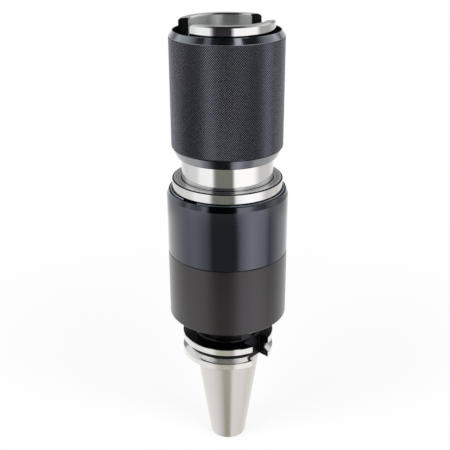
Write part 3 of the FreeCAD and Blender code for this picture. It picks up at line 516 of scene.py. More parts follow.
def cut_away(piece: Object, cutters: list[Object], edge: float) -> None:
    """Cut pieces away, break the new edges, and remove the cutters.

    Args:
        piece: The piece to cut.
        cutters: What is cut out of it.
        edge: Size of the broken edges in millimetres.
    """
    for cutter in cutters:
        modifier = piece.modifiers.new("cut", "BOOLEAN")
        modifier.operation = "DIFFERENCE"
        modifier.solver = "EXACT"
        modifier.material_mode = "INDEX"
        modifier.object = cutter
    bevel = piece.modifiers.new("edges", "BEVEL")
    bevel.width = edge * MM
    bevel.segments = 1
    bevel.limit_method = "ANGLE"
    bevel.angle_limit = MILLED_EDGE
    bevel.use_clamp_overlap = False
    graph = bpy.context.evaluated_depsgraph_get()
    mesh = bpy.data.meshes.new_from_object(piece.evaluated_get(graph))
    piece.modifiers.clear()
    old, piece.data = piece.data, mesh
    bpy.data.meshes.remove(old)
    finish_mesh(mesh, TURNED_SHARP)
    for cutter in cutters:
        bpy.data.objects.remove(cutter)


def settle(piece: Object, body: str, slot: str, *nodes: str) -> None:
    """Let a piece ride on a body and stand for CAD nodes, and log it."""
    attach(piece, body)
    if nodes:
        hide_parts(*nodes)
    log.info("%s rides on %s", piece.name, body)


# Sub-assemblies


@dataclass
class TaperShank:
    """Taper, V-flange, neck and lower housing, made in one piece."""

    gauge: float = 22.225
    small_end: float = -68.25
    small_radius: float = 12.321
    # The drawbar thread has 5/8 inch across its roots and 11 turns to the inch.
    thread_pitch: float = 2.309
    thread_root: float = 7.94
    thread_crest: float = 6.75
    thread_turns: int = 12
    thread_mouth: float = -63.75
    drill_point: float = -30.35
    pilot: float = 8.25
    flange: float = 31.75
    flange_foot: float = 3.175
    flange_top: float = 19.05
    groove_mouth: tuple[float, float] = (7.589, 14.631)
    groove_bed: tuple[float, float] = (9.65, 12.57)
    groove_floor: float = 28.18
    neck: float = 22.225
    neck_fillet: float = 1.5
    housing: float = 40.0
    housing_bottom: float = 34.9
    seam: float = 82.0
    seam_edge: float = 0.4
    barrel_thread: float = 36.5
    barrel_seat: float = 71.5
    chamber: float = 34.0
    chamber_floor: float = 42.0
    bolt_hole: float = 6.02
    bolt_hole_end: float = 21.5
    slot_width: float = 16.38
    slot_heights: tuple[float, float] = (2.9, 20.7)
    deep_floor: float = 22.6
    shallow_floor: float = 25.0

    def thread(self) -> list[Corner]:
        """Give the drawbar thread's turns, from its end down to the pilot bore."""
        start = self.thread_mouth + self.thread_pitch * self.thread_turns
        places = []
        for turn in range(self.thread_turns):
            top = start - self.thread_pitch * turn
            places += [(self.thread_crest, top), (self.thread_root, top - self.thread_pitch / 2)]
        return run(Finish.TURNED, *places, (self.thread_crest, self.thread_mouth))

    def section(self) -> list[Corner]:
        """Give the half section, from the drawbar hole round the outside to the spring chamber."""
        turned, taper, deep, satin = Finish.TURNED, Finish.GROUND_TAPER, Finish.OXIDE_DEEP, Finish.OXIDE_SATIN
        flange, foot, housing, seam = self.flange, self.flange_foot, self.housing, self.seam
        curve = self.neck_fillet
        return [
            Corner(0, self.drill_point, turned),
            *self.thread(),
            Corner(self.pilot, self.thread_mouth, turned),
            Corner(self.pilot, self.small_end, taper, 0.4),
            Corner(self.small_radius - 0.9, self.small_end, taper),
            *run(taper, (self.small_radius + 0.17, self.small_end + 1.2), (self.gauge, 0)),
            *run(turned, (self.gauge, foot), (flange - 0.4, foot), (flange, foot + 0.4)),
            Corner(flange, self.groove_mouth[0], turned, 0.15),
            # The V-groove's floor is matt black oxide, darker than its turned flanks: painted shade at the
            # bottom of the V.
            Corner(self.groove_floor, self.groove_bed[0], Finish.OXIDE_MATT),
            Corner(self.groove_floor, self.groove_bed[1], turned),
            Corner(flange, self.groove_mouth[1], turned, 0.15),
            Corner(flange, self.flange_top - 0.25, turned),
            Corner(flange - 0.25, self.flange_top, deep),
            *fillet(self.neck + curve, self.flange_top + curve, curve, 270, 180, deep),
            *fillet(self.neck + curve, self.housing_bottom - curve, curve, 180, 90, deep),
            *run(satin, (housing - 1, self.housing_bottom), (housing, self.housing_bottom + 1)),
            *run(satin, (housing, seam - self.seam_edge), (housing - self.seam_edge, seam)),
            *run(turned, (self.barrel_thread, seam), (self.barrel_thread, self.barrel_seat)),
            *run(turned, (self.chamber, self.barrel_seat), (self.chamber, self.chamber_floor)),
            *run(turned, (self.bolt_hole, self.chamber_floor), (self.bolt_hole, self.bolt_hole_end)),
            Corner(0, self.bolt_hole_end, turned),
        ]

    def build(self) -> None:
        """Turn the shank and mill the two drive slots of its flange."""
        piece = turned_piece("shank", self.section())
        black = piece.data.materials.find(Finish.OXIDE_MATT.value.name)
        half = self.slot_width / 2
        low, high = self.slot_heights
        outline = [(-half, low), (half, low), (half, high), (-half, high)]
        cutters = [
            prism(outline, self.deep_floor, self.flange + 2, Matrix.Identity(4), black),
            prism(outline, -self.flange - 2, -self.shallow_floor, Matrix.Identity(4), black),
        ]
        cut_away(piece, cutters, 0.25)
        settle(piece, "housing", "black_oxide", "taper_shank")


@dataclass
class HousingHead:
    """Glossy upper housing, with the bush and the wire ring in its mouth."""

    housing: float = 40.0
    seam: float = 82.0
    seam_edge: float = 0.4
    foot: float = 72.0
    thread: float = 36.48
    lip_top: float = 77.0
    inside: float = 33.0
    top: float = 125.5
    mouth: float = 38.35
    mouth_floor: float = 123.6
    seat: float = 121.1
    seat_radius: float = 37.57
    spigot: float = 35.02
    spigot_foot: float = 114.25
    guide: float = 30.05
    collar: float = 36.25
    collar_top: float = 133.0
    collar_edge: float = 0.5
    collar_step: float = 125.05
    collar_neck: float = 35.8
    collar_foot: float = 126.45
    bright_ring: float = 35.2
    dark_ring: float = 33.4
    fit: float = 0.02
    wiper_room: float = 32.2
    wiper_heights: tuple[float, float] = (128.5, 130.9)
    wire: float = 0.55
    wire_sides: int = 16
    wire_steps: int = 220
    wire_circle: float = 37.1
    wire_height: float = 125.6
    wire_arc: float = 343.0
    wire_gap: float = 273.5

    def barrel(self) -> Object:
        """Turn the upper housing."""
        gloss, matt, turned = Finish.OXIDE_GLOSS, Finish.OXIDE_MATT, Finish.TURNED
        return turned_piece("barrel", [
            *run(turned, (self.guide, self.foot), (self.thread, self.foot)),
            *run(gloss, (self.thread, self.seam), (self.housing - self.seam_edge, self.seam)),
            Corner(self.housing, self.seam + self.seam_edge, gloss),
            Corner(self.housing, self.top - 3.5, gloss, 0.1),
            Corner(self.housing - 1.4, self.top, gloss, 0.2),
            *run(matt, (self.mouth, self.top - 0.1), (self.mouth, self.mouth_floor)),
            *run(matt, (self.seat_radius, self.mouth_floor), (self.seat_radius, self.seat)),
            *run(turned, (self.spigot, self.seat), (self.spigot, self.spigot_foot)),
            *run(turned, (self.inside, self.spigot_foot), (self.inside, self.lip_top)),
            Corner(self.guide, self.lip_top, turned),
        ])

    def bush(self) -> Object:
        """Turn the guide collar: bright land outside, dark turned face on top."""
        matt, turned = Finish.OXIDE_MATT, Finish.TURNED
        spigot, rim = self.spigot - self.fit, self.seat_radius - self.fit
        guide, top, edge, room = self.guide, self.collar_top, self.collar_edge, self.wiper_room
        low, high = self.wiper_heights
        return turned_piece("guide_bush", [
            *run(turned, (guide, self.spigot_foot), (spigot, self.spigot_foot), (spigot, self.seat)),
            *run(matt, (rim, self.seat), (rim, self.collar_step), (self.collar_neck, self.collar_step)),
            *run(Finish.GROUND, (self.collar_neck, self.collar_foot), (self.collar, self.collar_foot + 0.35)),
            *run(matt, (self.collar, top - edge), (self.collar - edge, top)),
            Corner(self.bright_ring, top, Finish.TURNED_FACE),
            # The face's inner ring, next to the spindle, is darker: painted shade of the gap.
            Corner(self.dark_ring, top, Finish.TURNED_DARK),
            *run(matt, (guide + edge, top), (guide, top - edge), (guide, high), (room, high), (room, low)),
            Corner(guide, low, turned),
        ])

    def wiper(self) -> Object:
        """Turn the rubber wiper in the bush's groove."""
        back = self.wiper_room - self.fit
        low, high = self.wiper_heights[0] + 0.1, self.wiper_heights[1] - 0.1
        return turned_piece("wiper", run(
            Finish.RUBBER, (30.78, low), (back, low), (back, high),
            (self.guide + 0.3, high), (self.guide, high - 0.3), (self.guide, high - 0.6)))

    def wire_ring(self) -> Object:
        """Bend the wire ring, with its gap a little past -Y."""
        start = math.radians(self.wire_gap + (360 - self.wire_arc) / 2)
        path = []
        for step in range(self.wire_steps + 1):
            angle = start + math.radians(self.wire_arc) * step / self.wire_steps
            path.append(around(self.wire_circle, angle, self.wire_height))
        return wire_along("wire_ring", path, self.wire, self.wire_sides)

    def build(self) -> None:
        """Make the upper housing's pieces."""
        settle(self.barrel(), "housing", "polished_black_oxide", "housing_barrel")
        settle(self.bush(), "housing", "turned_steel", "guide_collar")
        settle(self.wiper(), "housing", "nitrile_rubber", "spindle_wiper")
        settle(self.wire_ring(), "housing", "spring_steel", "collar_snap_ring")


@dataclass
class SpindleUnit:
    """Ground spindle with its slotted nose, and what shows of its bore."""

    spindle: float = 30.0
    foot: float = 52.0
    nut_seat: float = 28.0
    nut_top: float = 56.5
    nose: float = 30.6
    nose_foot: float = 161.0
    tip: float = 30.0
    tip_edge: float = 0.9
    top: float = 233.8
    groove: float = 29.5
    washer_groove: tuple[float, float] = (170.4, 172.0)
    stop_groove: tuple[float, float] = (216.0, 217.6)
    bore: float = 24.0
    bore_edge: float = 0.8
    relief: float = 24.5
    relief_heights: tuple[float, float] = (201.5, 204.0)
    disc_groove: float = 25.1
    disc_groove_top: float = 171.6
    disc_edge: float = 0.3
    disc: float = 23.98
    disc_hole: float = 2.5
    disc_heights: tuple[float, float] = (165.0, 170.0)
    spring_room: float = 22.0
    web: tuple[float, float] = (88.0, 96.0)
    web_hole: float = 7.0
    slot_width: float = 24.0
    slot_depth: float = 11.8
    slot_chamfer: float = 1.3
    slot_direction: float = 62.0
    corner_start: float = 28.0
    ball: float = 4.0
    ball_hole: float = 4.05
    ball_centre: float = 26.4
    ball_height: float = 208.0

    def section(self) -> list[Corner]:
        """Give the spindle's half section."""
        ground, inside, honed = Finish.GROUND, Finish.TURNED, Finish.BORE
        bore, groove, nose, tip, top = self.bore, self.groove, self.nose, self.tip, self.top
        disc_foot, disc_top = self.disc_heights
        relief_foot, relief_top = self.relief_heights
        web_foot, web_top = self.web
        section = run(inside, (bore, self.foot), (self.nut_seat, self.foot), (self.nut_seat, self.nut_top))
        section += run(ground, (self.spindle, self.nut_top), (self.spindle, self.nose_foot))
        section += run(ground, (nose, self.nose_foot + 0.6))
        for (low, high), above in ((self.washer_groove, nose), (self.stop_groove, tip)):
            section += run(ground, (nose, low), (groove, low), (groove, high), (above, high))
        section += run(inside, (tip, top - self.tip_edge), (tip - self.tip_edge, top))
        section += run(ground, (bore + self.bore_edge, top))
        section += run(honed, (bore, top - self.bore_edge), (bore, relief_top), (self.relief, relief_top))
        section += run(honed, (self.relief, relief_foot), (bore, relief_foot))
        section += run(inside, (bore, self.disc_groove_top), (self.disc_groove, self.disc_groove_top))
        section += run(inside, (self.disc_groove, disc_top), (bore, disc_top), (bore, disc_foot))
        section += run(inside, (self.spring_room, disc_foot), (self.spring_room, web_top))
        return section + run(inside, (self.web_hole, web_top), (self.web_hole, web_foot), (bore, web_foot))

    def ball_angles(self) -> list[float]:
        """Give the directions of the three locking balls, in degrees."""
        return [self.slot_direction + 90 + 120 * index for index in range(3)]

    def ball_seat(self, angle: float, slot: int) -> Object:
        """Make the cutter for one ball seat: a round hole that ends short of the bore."""
        mesh = bpy.data.meshes.new("cutter")
        work = bmesh.new()
        bmesh.ops.create_uvsphere(work, u_segments=48, v_segments=24, radius=self.ball_hole * MM)
        outer = [vertex for vertex in work.verts if vertex.co.z > 1e-7]
        bmesh.ops.delete(work, geom=outer, context="VERTS")
        edges = [edge for edge in work.edges if edge.is_boundary]
        grown = bmesh.ops.extrude_edge_only(work, edges=edges)
        raised = [item for item in grown["geom"] if isinstance(item, bmesh.types.BMVert)]
        bmesh.ops.translate(work, verts=raised, vec=(0, 0, 10 * MM))
        bmesh.ops.contextual_create(work, geom=[edge for edge in work.edges if edge.is_boundary])
        place = (
            Matrix.Rotation(math.radians(angle), 4, "Z")
            @ Matrix.Translation(Vector((self.ball_centre, 0, self.ball_height)) * MM)
            @ Matrix.Rotation(math.radians(90), 4, "Y")
        )
        bmesh.ops.transform(work, matrix=place, verts=work.verts)
        work.to_mesh(mesh)
        work.free()
        return add_cutter(mesh, slot)

    def spindle_piece(self) -> Object:
        """Turn the spindle, and mill its nose slots and its ball seats."""
        piece = turned_piece("ground_spindle", self.section())
        piece.data.materials.append(Finish.OXIDE_MATT.value.material())
        black = len(piece.data.materials) - 1
        half = self.slot_width / 2
        floor = self.top - self.slot_depth
        flare = self.slot_chamfer
        outline = [
            (-half, floor), (half, floor), (half, self.top - flare), (half + flare + 1, self.top + 1),
            (-half - flare - 1, self.top + 1), (-half, self.top - flare),
        ]
        frame = Matrix.Rotation(math.radians(self.slot_direction), 4, "Z")
        upright = frame @ Matrix(((0, 1, 0), (0, 0, 1), (1, 0, 0))).to_4x4()
        # The slots' outer corners are milled off at 45 degrees, out past the nose.
        start, reach, past = self.corner_start, 35.0, 40.0
        wide = half + reach - start
        corners = [
            (-reach, -wide), (-start, -half), (start, -half), (reach, -wide),
            (reach, wide), (start, half), (-start, half), (-reach, wide),
        ]
        cutters = [
            prism(outline, -past, past, frame, black),
            prism(corners, floor, self.top + 1, upright, black),
        ]
        cutters += [self.ball_seat(angle, 0) for angle in self.ball_angles()]
        cut_away(piece, cutters, 0.2)
        return piece

    def ball_piece(self, index: int, angle: float) -> Object:
        """Make one locking ball."""
        mesh = bpy.data.meshes.new("locking_ball")
        work = bmesh.new()
        bmesh.ops.create_icosphere(work, subdivisions=4, radius=self.ball * MM)
        centre = around(self.ball_centre, math.radians(angle), self.ball_height) * MM
        bmesh.ops.translate(work, verts=work.verts, vec=centre)
        work.to_mesh(mesh)
        work.free()
        finish_mesh(mesh)
        return add_piece("lock_ball_" + str(index), mesh, [Finish.BALL])

    def bore_stop(self) -> Object:
        """Turn the disc that closes the bore."""
        # The disc takes the darker turned copy: painted shade deep in the bore.
        plain = Finish.TURNED_DARK
        low, high = self.disc_heights
        return turned_piece("bore_stop", [
            Corner(self.disc_hole, low, plain),
            Corner(self.disc, low, plain, self.disc_edge),
            Corner(self.disc, high, plain, self.disc_edge),
            Corner(self.disc_hole, high, plain, self.disc_edge),
        ])

    def build(self) -> None:
        """Make the spindle's pieces."""
        settle(self.spindle_piece(), "spindle", "ground_steel", "spindle")
        for index, angle in enumerate(self.ball_angles(), start=1):
            node = "locking_ball_" + str(index)
            settle(self.ball_piece(index, angle), node, "ball_steel", node)
        settle(self.bore_stop(), "spindle", "turned_steel", "bore_stop_disc")


@dataclass
class ReleaseSleeve:
    """Knurled release sleeve with the smooth taper ring at its lower end."""

    crest: float = 36.14
    knurl_depth: float = 0.42
    # A real 0.8 mm knurl has some 280 starts. Drawn coarser, so that the picture can show it.
    starts: int = 160
    knurl_bottom: float = 154.1
    knurl_lead: float = 0.7
    knurl_top: float = 223.9
    helix_angle: float = 43.0
    top: float = 227.8
    rim: float = 33.74
    bore: float = 33.3
    guide: float = 30.65
    guide_heights: tuple[float, float] = (195.9, 207.95)
    stop_step: float = 32.42
    stop_heights: tuple[float, float] = (213.3, 215.95)
    end_bottom: float = 148.0
    end_edge: float = 0.6
    end_cone: tuple[float, float] = (32.9, 35.5)
    end_spigot: float = 33.28
    end_guide: float = 30.05
    end_top: float = 159.0

    def rest_of_section(self) -> list[Corner]:
        """Give the sleeve's smooth surfaces, from the top of the knurl over rim and bore to its foot."""
        crest, bore, guide, step, foot = self.crest, self.bore, self.guide, self.stop_step, self.knurl_bottom
        guide_foot, guide_top = self.guide_heights
        stop_foot, stop_top = self.stop_heights
        matt = Finish.OXIDE_MATT
        return [
            # The top bevel takes the lighter copy of the oxide: painted sheen.
            *run(Finish.OXIDE_WORN, (crest - 0.1, self.knurl_top + 0.45), (self.rim, self.top)),
            *run(matt, (bore, self.top), (bore, stop_top), (step, stop_top), (step, stop_foot)),
            *run(matt, (guide, guide_top), (guide, guide_foot), (bore, guide_foot), (bore, foot)),
            *run(Finish.OXIDE_GLOSS, (crest - 0.9, foot), (crest - self.knurl_depth / 2, foot + 0.55)),
        ]

    def knurl_rings(self, rows: int) -> list[tuple[list[float], float]]:
        """Give each ring of the knurl from its foot up: the radii that repeat round it, and its height."""
        valley = self.crest - self.knurl_depth
        foot = self.knurl_bottom + self.knurl_lead
        rings = []
        for row in range(rows + 1):
            pair = [valley, self.crest] if row % 2 == 0 else [self.crest, valley]
            if row in (0, rows):
                pair = [valley, self.crest - self.knurl_depth / 2]
            rings.append((pair, foot + (self.knurl_top - foot) * row / rows))
        return rings

    def sleeve(self) -> Object:
        """Knurl and turn the sleeve, in one closed mesh.

        Two sets of grooves cross at the points where column and row add up to an even number, and a
        crest stands between them. Each square of four points is split along its groove.
        """
        columns = 2 * self.starts
        step = TURN * self.crest / columns
        height = self.knurl_top - (self.knurl_bottom + self.knurl_lead)
        rows = 2 * round(height / (2 * step / math.tan(math.radians(self.helix_angle))))
        smooth = self.rest_of_section()
        rings = self.knurl_rings(rows) + [([corner.radius], corner.height) for corner in smooth]
        points = [
            around(radii[column % len(radii)], TURN * column / columns, level) * MM
            for radii, level in rings for column in range(columns)
        ]
        finishes = [Finish.OXIDE_KNURL, Finish.OXIDE_GLOSS, Finish.OXIDE_MATT, Finish.OXIDE_WORN]
        faces: list[tuple[int, ...]] = []
        slots: list[int] = []
        for ring in range(len(rings)):
            finish = smooth[ring - rows - 1].finish if ring > rows else Finish.OXIDE_KNURL
            above = (ring + 1) % len(rings)
            for column in range(columns):
                after = (column + 1) % columns
                a, b = ring * columns + column, ring * columns + after
                c, d = above * columns + after, above * columns + column
                if ring >= rows:
                    made = [(a, b, c, d)]
                elif (column + ring) % 2 == 0:
                    made = [(a, b, c), (a, c, d)]
                else:
                    made = [(a, b, d), (b, c, d)]
                faces += made
                slots += [finishes.index(finish)] * len(made)
        mesh = new_mesh("knurled_sleeve", points, faces, slots)
        finish_mesh(mesh)
        log.info("knurl of %d columns and %d rows", columns, rows)
        return add_piece("knurled_sleeve", mesh, finishes)

    def end_ring(self) -> Object:
        """Turn the smooth ring below the knurl."""
        gloss, foot, top, edge = Finish.OXIDE_GLOSS, self.end_bottom, self.end_top, self.end_edge
        guide, spigot, (narrow, wide) = self.end_guide, self.end_spigot, self.end_cone
        return turned_piece("sleeve_foot_ring", [
            *run(gloss, (guide, foot + edge), (guide + edge, foot), (narrow - edge, foot)),
            # The foot ring's cone takes the lighter copy of the oxide: painted sheen.
            Corner(narrow, foot + edge, Finish.OXIDE_RUBBED),
            Corner(wide, self.knurl_bottom, gloss),
            *run(Finish.TURNED, (spigot, self.knurl_bottom), (spigot, top), (guide, top)),
        ])

    def build(self) -> None:
        """Make the sleeve's pieces."""
        settle(self.sleeve(), "release_sleeve", "black_oxide", "release_sleeve")
        settle(self.end_ring(), "release_sleeve", "polished_black_oxide", "sleeve_end_ring")


@dataclass(frozen=True)
class CoilSpring:
    """A spring of round wire with closed ends.

    Attributes:
        name: The piece's name.
        node: The CAD node it stands for.
        below: The body its lower end stands on; not used.
        above: The body its upper end stands on; not used.
        outside: Outer radius.
        wire: Wire radius.
        bottom: Height of its lower end.
        top: Height of its upper end.
        turns: Number of turns, with one closed turn at each end.
        steps: Points of the path in each turn.
        sides: Sides of the wire.
    """

    name: str
    node: str
    below: str
    above: str
    outside: float
    wire: float
    bottom: float
    top: float
    turns: int
    steps: int = 40
    sides: int = 12

    def build(self) -> None:
        """Wind the spring."""
        # A closed turn rises by the wire's thickness and a little air.
        closed = 2.06 * self.wire
        low, high = self.bottom + self.wire, self.top - self.wire
        open_turns = self.turns - 2
        pitch = (high - low - 2 * closed) / open_turns
        path = []
        for step in range(self.turns * self.steps + 1):
            done = step / self.steps
            opened = min(max(done - 1, 0), open_turns)
            height = low + (done - opened) * closed + opened * pitch
            path.append(around(self.outside - self.wire, TURN * done, height))
        piece = wire_along(self.name, path, self.wire, self.sides)
        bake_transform(piece)
        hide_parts(self.node)


def build_springs() -> None:
    """Make the three springs inside."""
    CoilSpring("lower_spring", "compression_spring", "housing", "spindle", 22, 2, 42.1, 87.9, 6).build()
    CoilSpring("upper_spring", "tension_spring", "spindle", "housing", 20, 1.75, 96.1, 137.9, 6).build()
    CoilSpring(
        "return_spring", "sleeve_spring", "spindle", "release_sleeve", 32.99, 0.84, 174.1, 195.8, 4).build()


def dress_inside(nodes: dict[str, Object]) -> None:
    """Give the CAD pieces that stay their finishes.

    Args:
        nodes: The CAD objects by node name.
    """
    finishes = {
        Finish.SCREW: ("tie_bolt", "grub_screw"),
        Finish.TURNED: ("spring_plate", "spindle_stop_ring", "spring_seat_washer"),
        Finish.SPRING: ("bore_snap_ring", "spring_seat_ring", "sleeve_stop_ring"),
        Finish.BRASS: ("ball_cage",),
        Finish.BALL: ("torque_balls",),
    }
    for finish, names in finishes.items():
        for name in names:
            for slot in nodes[name].material_slots:
                slot.link = "OBJECT"
                slot.material = finish.value.material()
            log.info("%s keeps its CAD shape", name)


# Studio


@dataclass(frozen=True)
class Band:
    """One band of the light tent.

    Attributes:
        foot: Elevation in degrees where it starts to take over from the band below.
        head: Elevation where it has taken over.
        stops: Colours by degrees from the camera's side.
    """

    foot: float
    head: float
    stops: dict[float, str]


# The tent from below upward: white cloth left, right and behind, and a dark gap on the camera's side.
TENT = (
    # White paper behind the holder's foot, and the dark table before it.
    Band(-90, -90, {
        -180: "#f6f4f0", -115: "#f6f4f0", -92: "#bcbdc0", -76: "#bcbcc2", -60: "#66666a", -46: "#2c2c2f",
        10: "#2c2c2f", 22: "#c0c0c6", 44: "#e6e6ee", 60: "#b4b4b8", 92: "#97979b", 115: "#f6f4f0",
        180: "#f6f4f0",
    }),
    # Seen in the taper.
    Band(-59, -56, {
        -180: "#ffffff", -95: "#f4f2ee", -75: "#f0eeee", -33: "#e9e6e4", -20: "#c8c5b5", 10: "#c8c5b5",
        20: "#f8f6f5", 70: "#f4f2f1", 90: "#e4e2da", 180: "#ffffff",
    }),
    # Seen in the flange and the lower housing.
    Band(-33, -30, {
        -180: "#ffffff", -100: "#f0efec", -82: "#e2e1de", -60: "#f4f3f1", -38: "#f4f3f1", -32: "#8a897e",
        14: "#8a897e", 20: "#f8f7f4", 70: "#f4f3f4", 92: "#d8d7d4", 118: "#f0efec", 180: "#ffffff",
    }),
    # Seen in the glossy upper housing.
    Band(-28.5, -27.5, {
        -180: "#ffffff", -124: "#fafaf8", -96: "#d2d3d4", -80: "#c2c3c6", -66: "#cccdd2", -54: "#b9bac0",
        -42: "#a0a1a6", -34: "#7c7d82", -29: "#525358", 16: "#525358", 26: "#bcbdc4", 37: "#eaeaf0",
        49: "#ffffff", 62: "#eaeaf0", 75: "#d4d4da", 87: "#909096", 100: "#bcbcc0", 116: "#e6e6e8",
        180: "#ffffff",
    }),
    # Seen in the spindle's neck and the collar's land.
    Band(-22.3, -21.8, {
        -180: "#f2f2f0", -125: "#cacac8", -84: "#d2d3d2", -70: "#eef0f0", -39: "#f6f8f6", -31: "#8c8d87",
        -26: "#73746c", 12: "#72736b", 19: "#ffffff", 68: "#fdfdfd", 88: "#c6c4c2", 125: "#c8c7c2",
        180: "#ffffff",
    }),
    # Seen in the nose and the knurl.
    Band(-14, -12, {
        -180: "#ffffff", -110: "#e0e2e2", -86: "#d6d7da", -72: "#ecefef", -42: "#ebebee", -31: "#454347",
        -24: "#242125", 9: "#2b292c", 18: "#f6f6f8", 72: "#f6f6f6", 84: "#a3a29e", 115: "#a3a29e",
        180: "#ffffff",
    }),
    # Seen in the top of the nose: the tent's rear wall is grey there.
    Band(4, 8, {
        -180: "#9a9c9a", -120: "#d6dad8", -86: "#8a8c88", -72: "#f0f2f0", -39: "#e4e5e0", -33: "#2e3029",
        12: "#2e3029", 17: "#ffffff", 47: "#ffffff", 55: "#3e3f3d", 70: "#3e3f3d", 78: "#9a9c9a",
        104: "#d2d8d4", 140: "#d6dcd8", 180: "#9a9c9a",
    }),
    # Seen in the barrel's upper edge: the front is open, but for one lamp to the right.
    Band(12, 14, {
        -180: "#7c7c7e", -125: "#8c8c8e", -95: "#c8c8c6", -80: "#a0a0a6", -45: "#90909a", -33: "#101113",
        16: "#101113", 21: "#f4f2ee", 37: "#e8e6e2", 44: "#88888e", 80: "#76767c", 100: "#b8b8b8",
        125: "#8c8c8e", 180: "#7c7c7e",
    }),
    # Seen in the collar's face: the tent's side walls are lit here.
    Band(17.5, 18.5, {
        -180: "#808084", -135: "#848488", -118: "#fcfcfc", -44: "#f0f0f2", -35: "#101113", 16: "#101113",
        21: "#f4f2ee", 60: "#fcfcfc", 118: "#fcfcfc", 135: "#98989c", 180: "#808084",
    }),
    # Seen in the knurl's upper flanks: one strip lamp to the right, and a dim one to the left.
    Band(24, 27, {
        -180: "#e8e8e8", -125: "#e0e2e4", -98: "#b4b8bc", -76: "#38383e", -50: "#48484e", -36: "#7c7c82",
        -4: "#808086", 14: "#8e8e94", 23: "#e2e6ee", 37: "#e6eaf2", 43: "#404044", 76: "#202125",
        98: "#9a9da2", 125: "#d8dadc", 180: "#e8e8e8",
    }),
    # Seen in the sleeve's bevel: two lamps in the dark front, and the tent's bright rear.
    Band(46, 49, {
        -180: "#e8e8e8", -125: "#e0e2e4", -98: "#b4b8bc", -76: "#33353a", -62: "#26272b", -58: "#868a8f",
        -46: "#868a8f", -42: "#2a2b2f", -10: "#17171a", 19: "#232428", 24: "#eef2f8", 37: "#f8fcff",
        42: "#26272b", 76: "#202125", 98: "#9a9da2", 125: "#d8dadc", 180: "#e8e8e8",
    }),
    # The open top.
    Band(66, 74, {-180: "#1a1a1c", 180: "#1a1a1c"}),
)


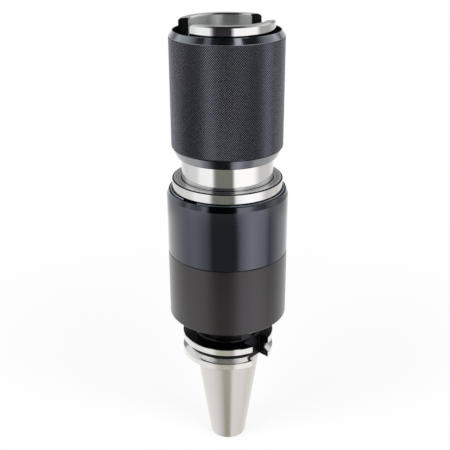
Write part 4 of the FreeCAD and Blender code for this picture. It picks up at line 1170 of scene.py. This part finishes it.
@dataclass
class Studio:
    """Light tent round the holder, its floor and its lamps.

    The floor's height is in millimetres, as the holder's sizes are. The studio's own sizes are in metres.
    """

    floor_height: float = -68.25
    floor_reach: float = 4.0
    lamp_power: float = 9.0
    lamp_size: float = 0.7
    lamp_distance: float = 0.9
    lamp_aim: float = 0.08

    def ramp(
        self, tree: NodeTree, share: NodeSocket, stops: dict[float, str],
    ) -> NodeSocket:
        """Add a colour ramp round the holder.

        Args:
            tree: The node tree to add to.
            share: The ramp's factor, from 0 to 1 for a whole turn.
            stops: Colours by degrees from the camera's side.

        Returns:
            The colour socket.
        """
        node = add_node(tree, "ValToRGB", inputs={0: share})
        elements = node.color_ramp.elements
        while len(elements) < len(stops):
            elements.new(0.5)
        for element, (degrees, colour) in zip(elements, stops.items()):
            element.position = degrees / 360 + 0.5
            element.color = linear(colour)
        return node.outputs[0]

    def world(self) -> None:
        """Make the tent as the world's colour, which a camera ray sees as plain white."""
        world = bpy.data.worlds.new("light_tent")
        bpy.context.scene.world = world
        tree = empty_tree(world)
        way = add_node(tree, "TexCoord").outputs["Generated"]
        front, side = (
            add_node(tree, "VectorMath", {"operation": "DOT_PRODUCT"}, {0: way, 1: axis}).outputs["Value"]
            for axis in (TOWARDS_CAMERA, CAMERA_RIGHT)
        )
        angle = add_node(tree, "Math", {"operation": "ARCTAN2"}, {0: side, 1: front})
        turned = add_node(tree, "MapRange", inputs={
            "Value": angle.outputs[0], "From Min": -math.pi, "From Max": math.pi})
        up = add_node(tree, "SeparateXYZ", inputs={0: way}).outputs[2]
        tent = None
        for band in TENT:
            colour = self.ramp(tree, turned.outputs[0], band.stops)
            if tent is None:
                tent = colour
                continue
            foot, head = (math.sin(math.radians(degrees)) for degrees in (band.foot, band.head))
            share = add_node(tree, "MapRange", inputs={"Value": up, "From Min": foot, "From Max": head})
            tent = add_node(tree, "Mix", {"data_type": "RGBA"}, {
                "Factor": share.outputs[0], 6: tent, 7: colour}).outputs[2]
        path = add_node(tree, "LightPath")
        seen = add_node(tree, "Mix", {"data_type": "RGBA"}, {
            "Factor": path.outputs["Is Camera Ray"], 6: tent, 7: (1.0, 1.0, 1.0, 1.0)})
        back = add_node(tree, "Background", inputs={"Color": seen.outputs[2], "Strength": 1.0})
        add_node(tree, "OutputWorld", inputs={"Surface": back.outputs[0]})

    def floor(self) -> None:
        """Lay a pale floor that takes the holder's soft shadow and fades into the white round it."""
        corners = [Vector((x, y, 0)) * self.floor_reach for x, y in ((-1, -1), (1, -1), (1, 1), (-1, 1))]
        mesh = new_mesh("studio_floor", corners, [(0, 1, 2, 3)])
        floor = add_object("studio_floor", mesh)
        floor.location.z = self.floor_height * MM
        material = bpy.data.materials.new("pale_paper")
        tree = empty_tree(material)
        paper = add_node(tree, "BsdfDiffuse", inputs={"Color": linear("#f4f4f4")})
        glow = add_node(tree, "Emission", inputs={"Color": (1, 1, 1, 1), "Strength": 1.0})
        place = add_node(tree, "TexCoord").outputs["Object"]
        distance = add_node(tree, "VectorMath", {"operation": "LENGTH"}, {0: place})
        far = add_node(tree, "MapRange", {"interpolation_type": "SMOOTHSTEP"}, {
            "Value": distance.outputs["Value"], "From Min": 0.05, "From Max": 0.5,
            "To Min": 0.8, "To Max": 1.0})
        path = add_node(tree, "LightPath")
        shine = add_node(tree, "Math", {"operation": "MULTIPLY"}, {
            0: far.outputs[0], 1: path.outputs["Is Camera Ray"]})
        seen = add_node(tree, "MixShader", inputs={
            0: shine.outputs[0], 1: paper.outputs[0], 2: glow.outputs[0]})
        clear = add_node(tree, "BsdfTransparent")
        through = add_node(tree, "Math", {"operation": "MAXIMUM"}, {
            0: path.outputs["Is Glossy Ray"], 1: path.outputs["Is Transmission Ray"]})
        surface = add_node(tree, "MixShader", inputs={
            0: through.outputs[0], 1: seen.outputs[0], 2: clear.outputs[0]})
        add_node(tree, "OutputMaterial", inputs={"Surface": surface.outputs[0]})
        mesh.materials.append(material)

    def lamps(self) -> None:
        """Hang two soft lamps that shape the dull surfaces and cast the soft shadow."""
        for name, degrees, height in (("left_lamp", -55, 0.7), ("right_lamp", 50, 0.5)):
            light = bpy.data.lights.new(name, "AREA")
            light.energy = self.lamp_power
            light.size = self.lamp_size
            lamp = add_object(name, light)
            way = math.radians(degrees)
            spot = (TOWARDS_CAMERA * math.cos(way) + CAMERA_RIGHT * math.sin(way)) * self.lamp_distance
            spot += Vector((0, 0, height))
            lamp.location = spot
            lamp.rotation_mode = "QUATERNION"
            lamp.rotation_quaternion = (Vector((0, 0, self.lamp_aim)) - spot).to_track_quat("-Z", "Y")
            lamp.visible_glossy = False

    def build(self) -> None:
        """Set up the studio."""
        self.world()
        self.floor()
        self.lamps()
        bpy.context.scene.view_settings.view_transform = "Standard"


@dataclass
class PhotoCamera:
    """The camera as it was fitted to the photograph."""

    distance: float = 500.85
    height: float = 310.43
    shift_right: float = -1.72
    pitch: float = 23.01
    roll: float = -0.27
    focal_pixels: float = 808.03
    image_pixels: float = 450.0
    sensor: float = 36.0

    def build(self) -> None:
        """Place the camera and make it the scene's camera."""
        data = bpy.data.cameras.new("photo_camera")
        data.sensor_width = self.sensor
        data.lens = self.focal_pixels / self.image_pixels * self.sensor
        data.clip_start, data.clip_end = 0.01, 100
        camera = add_object("photo_camera", data)
        away = TOWARDS_CAMERA * self.distance + CAMERA_RIGHT * self.shift_right
        camera.location = (away + Vector((0, 0, self.height))) * MM
        pitch = math.radians(self.pitch)
        forward = -TOWARDS_CAMERA * math.cos(pitch) - Vector((0, 0, math.sin(pitch)))
        camera.rotation_mode = "QUATERNION"
        roll = Quaternion((0, 0, 1), math.radians(self.roll))
        camera.rotation_quaternion = forward.to_track_quat("-Z", "Y") @ roll
        bpy.context.scene.camera = camera


def main() -> None:
    """Build the holder's visual model, its studio and its camera."""
    logging.basicConfig(level=logging.INFO, format="%(name)s: %(message)s")
    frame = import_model()
    dress_inside(frame["nodes"])
    TaperShank().build()
    HousingHead().build()
    SpindleUnit().build()
    ReleaseSleeve().build()
    build_springs()
    Studio().build()
    PhotoCamera().build()


if __name__ == "__main__":
    main()
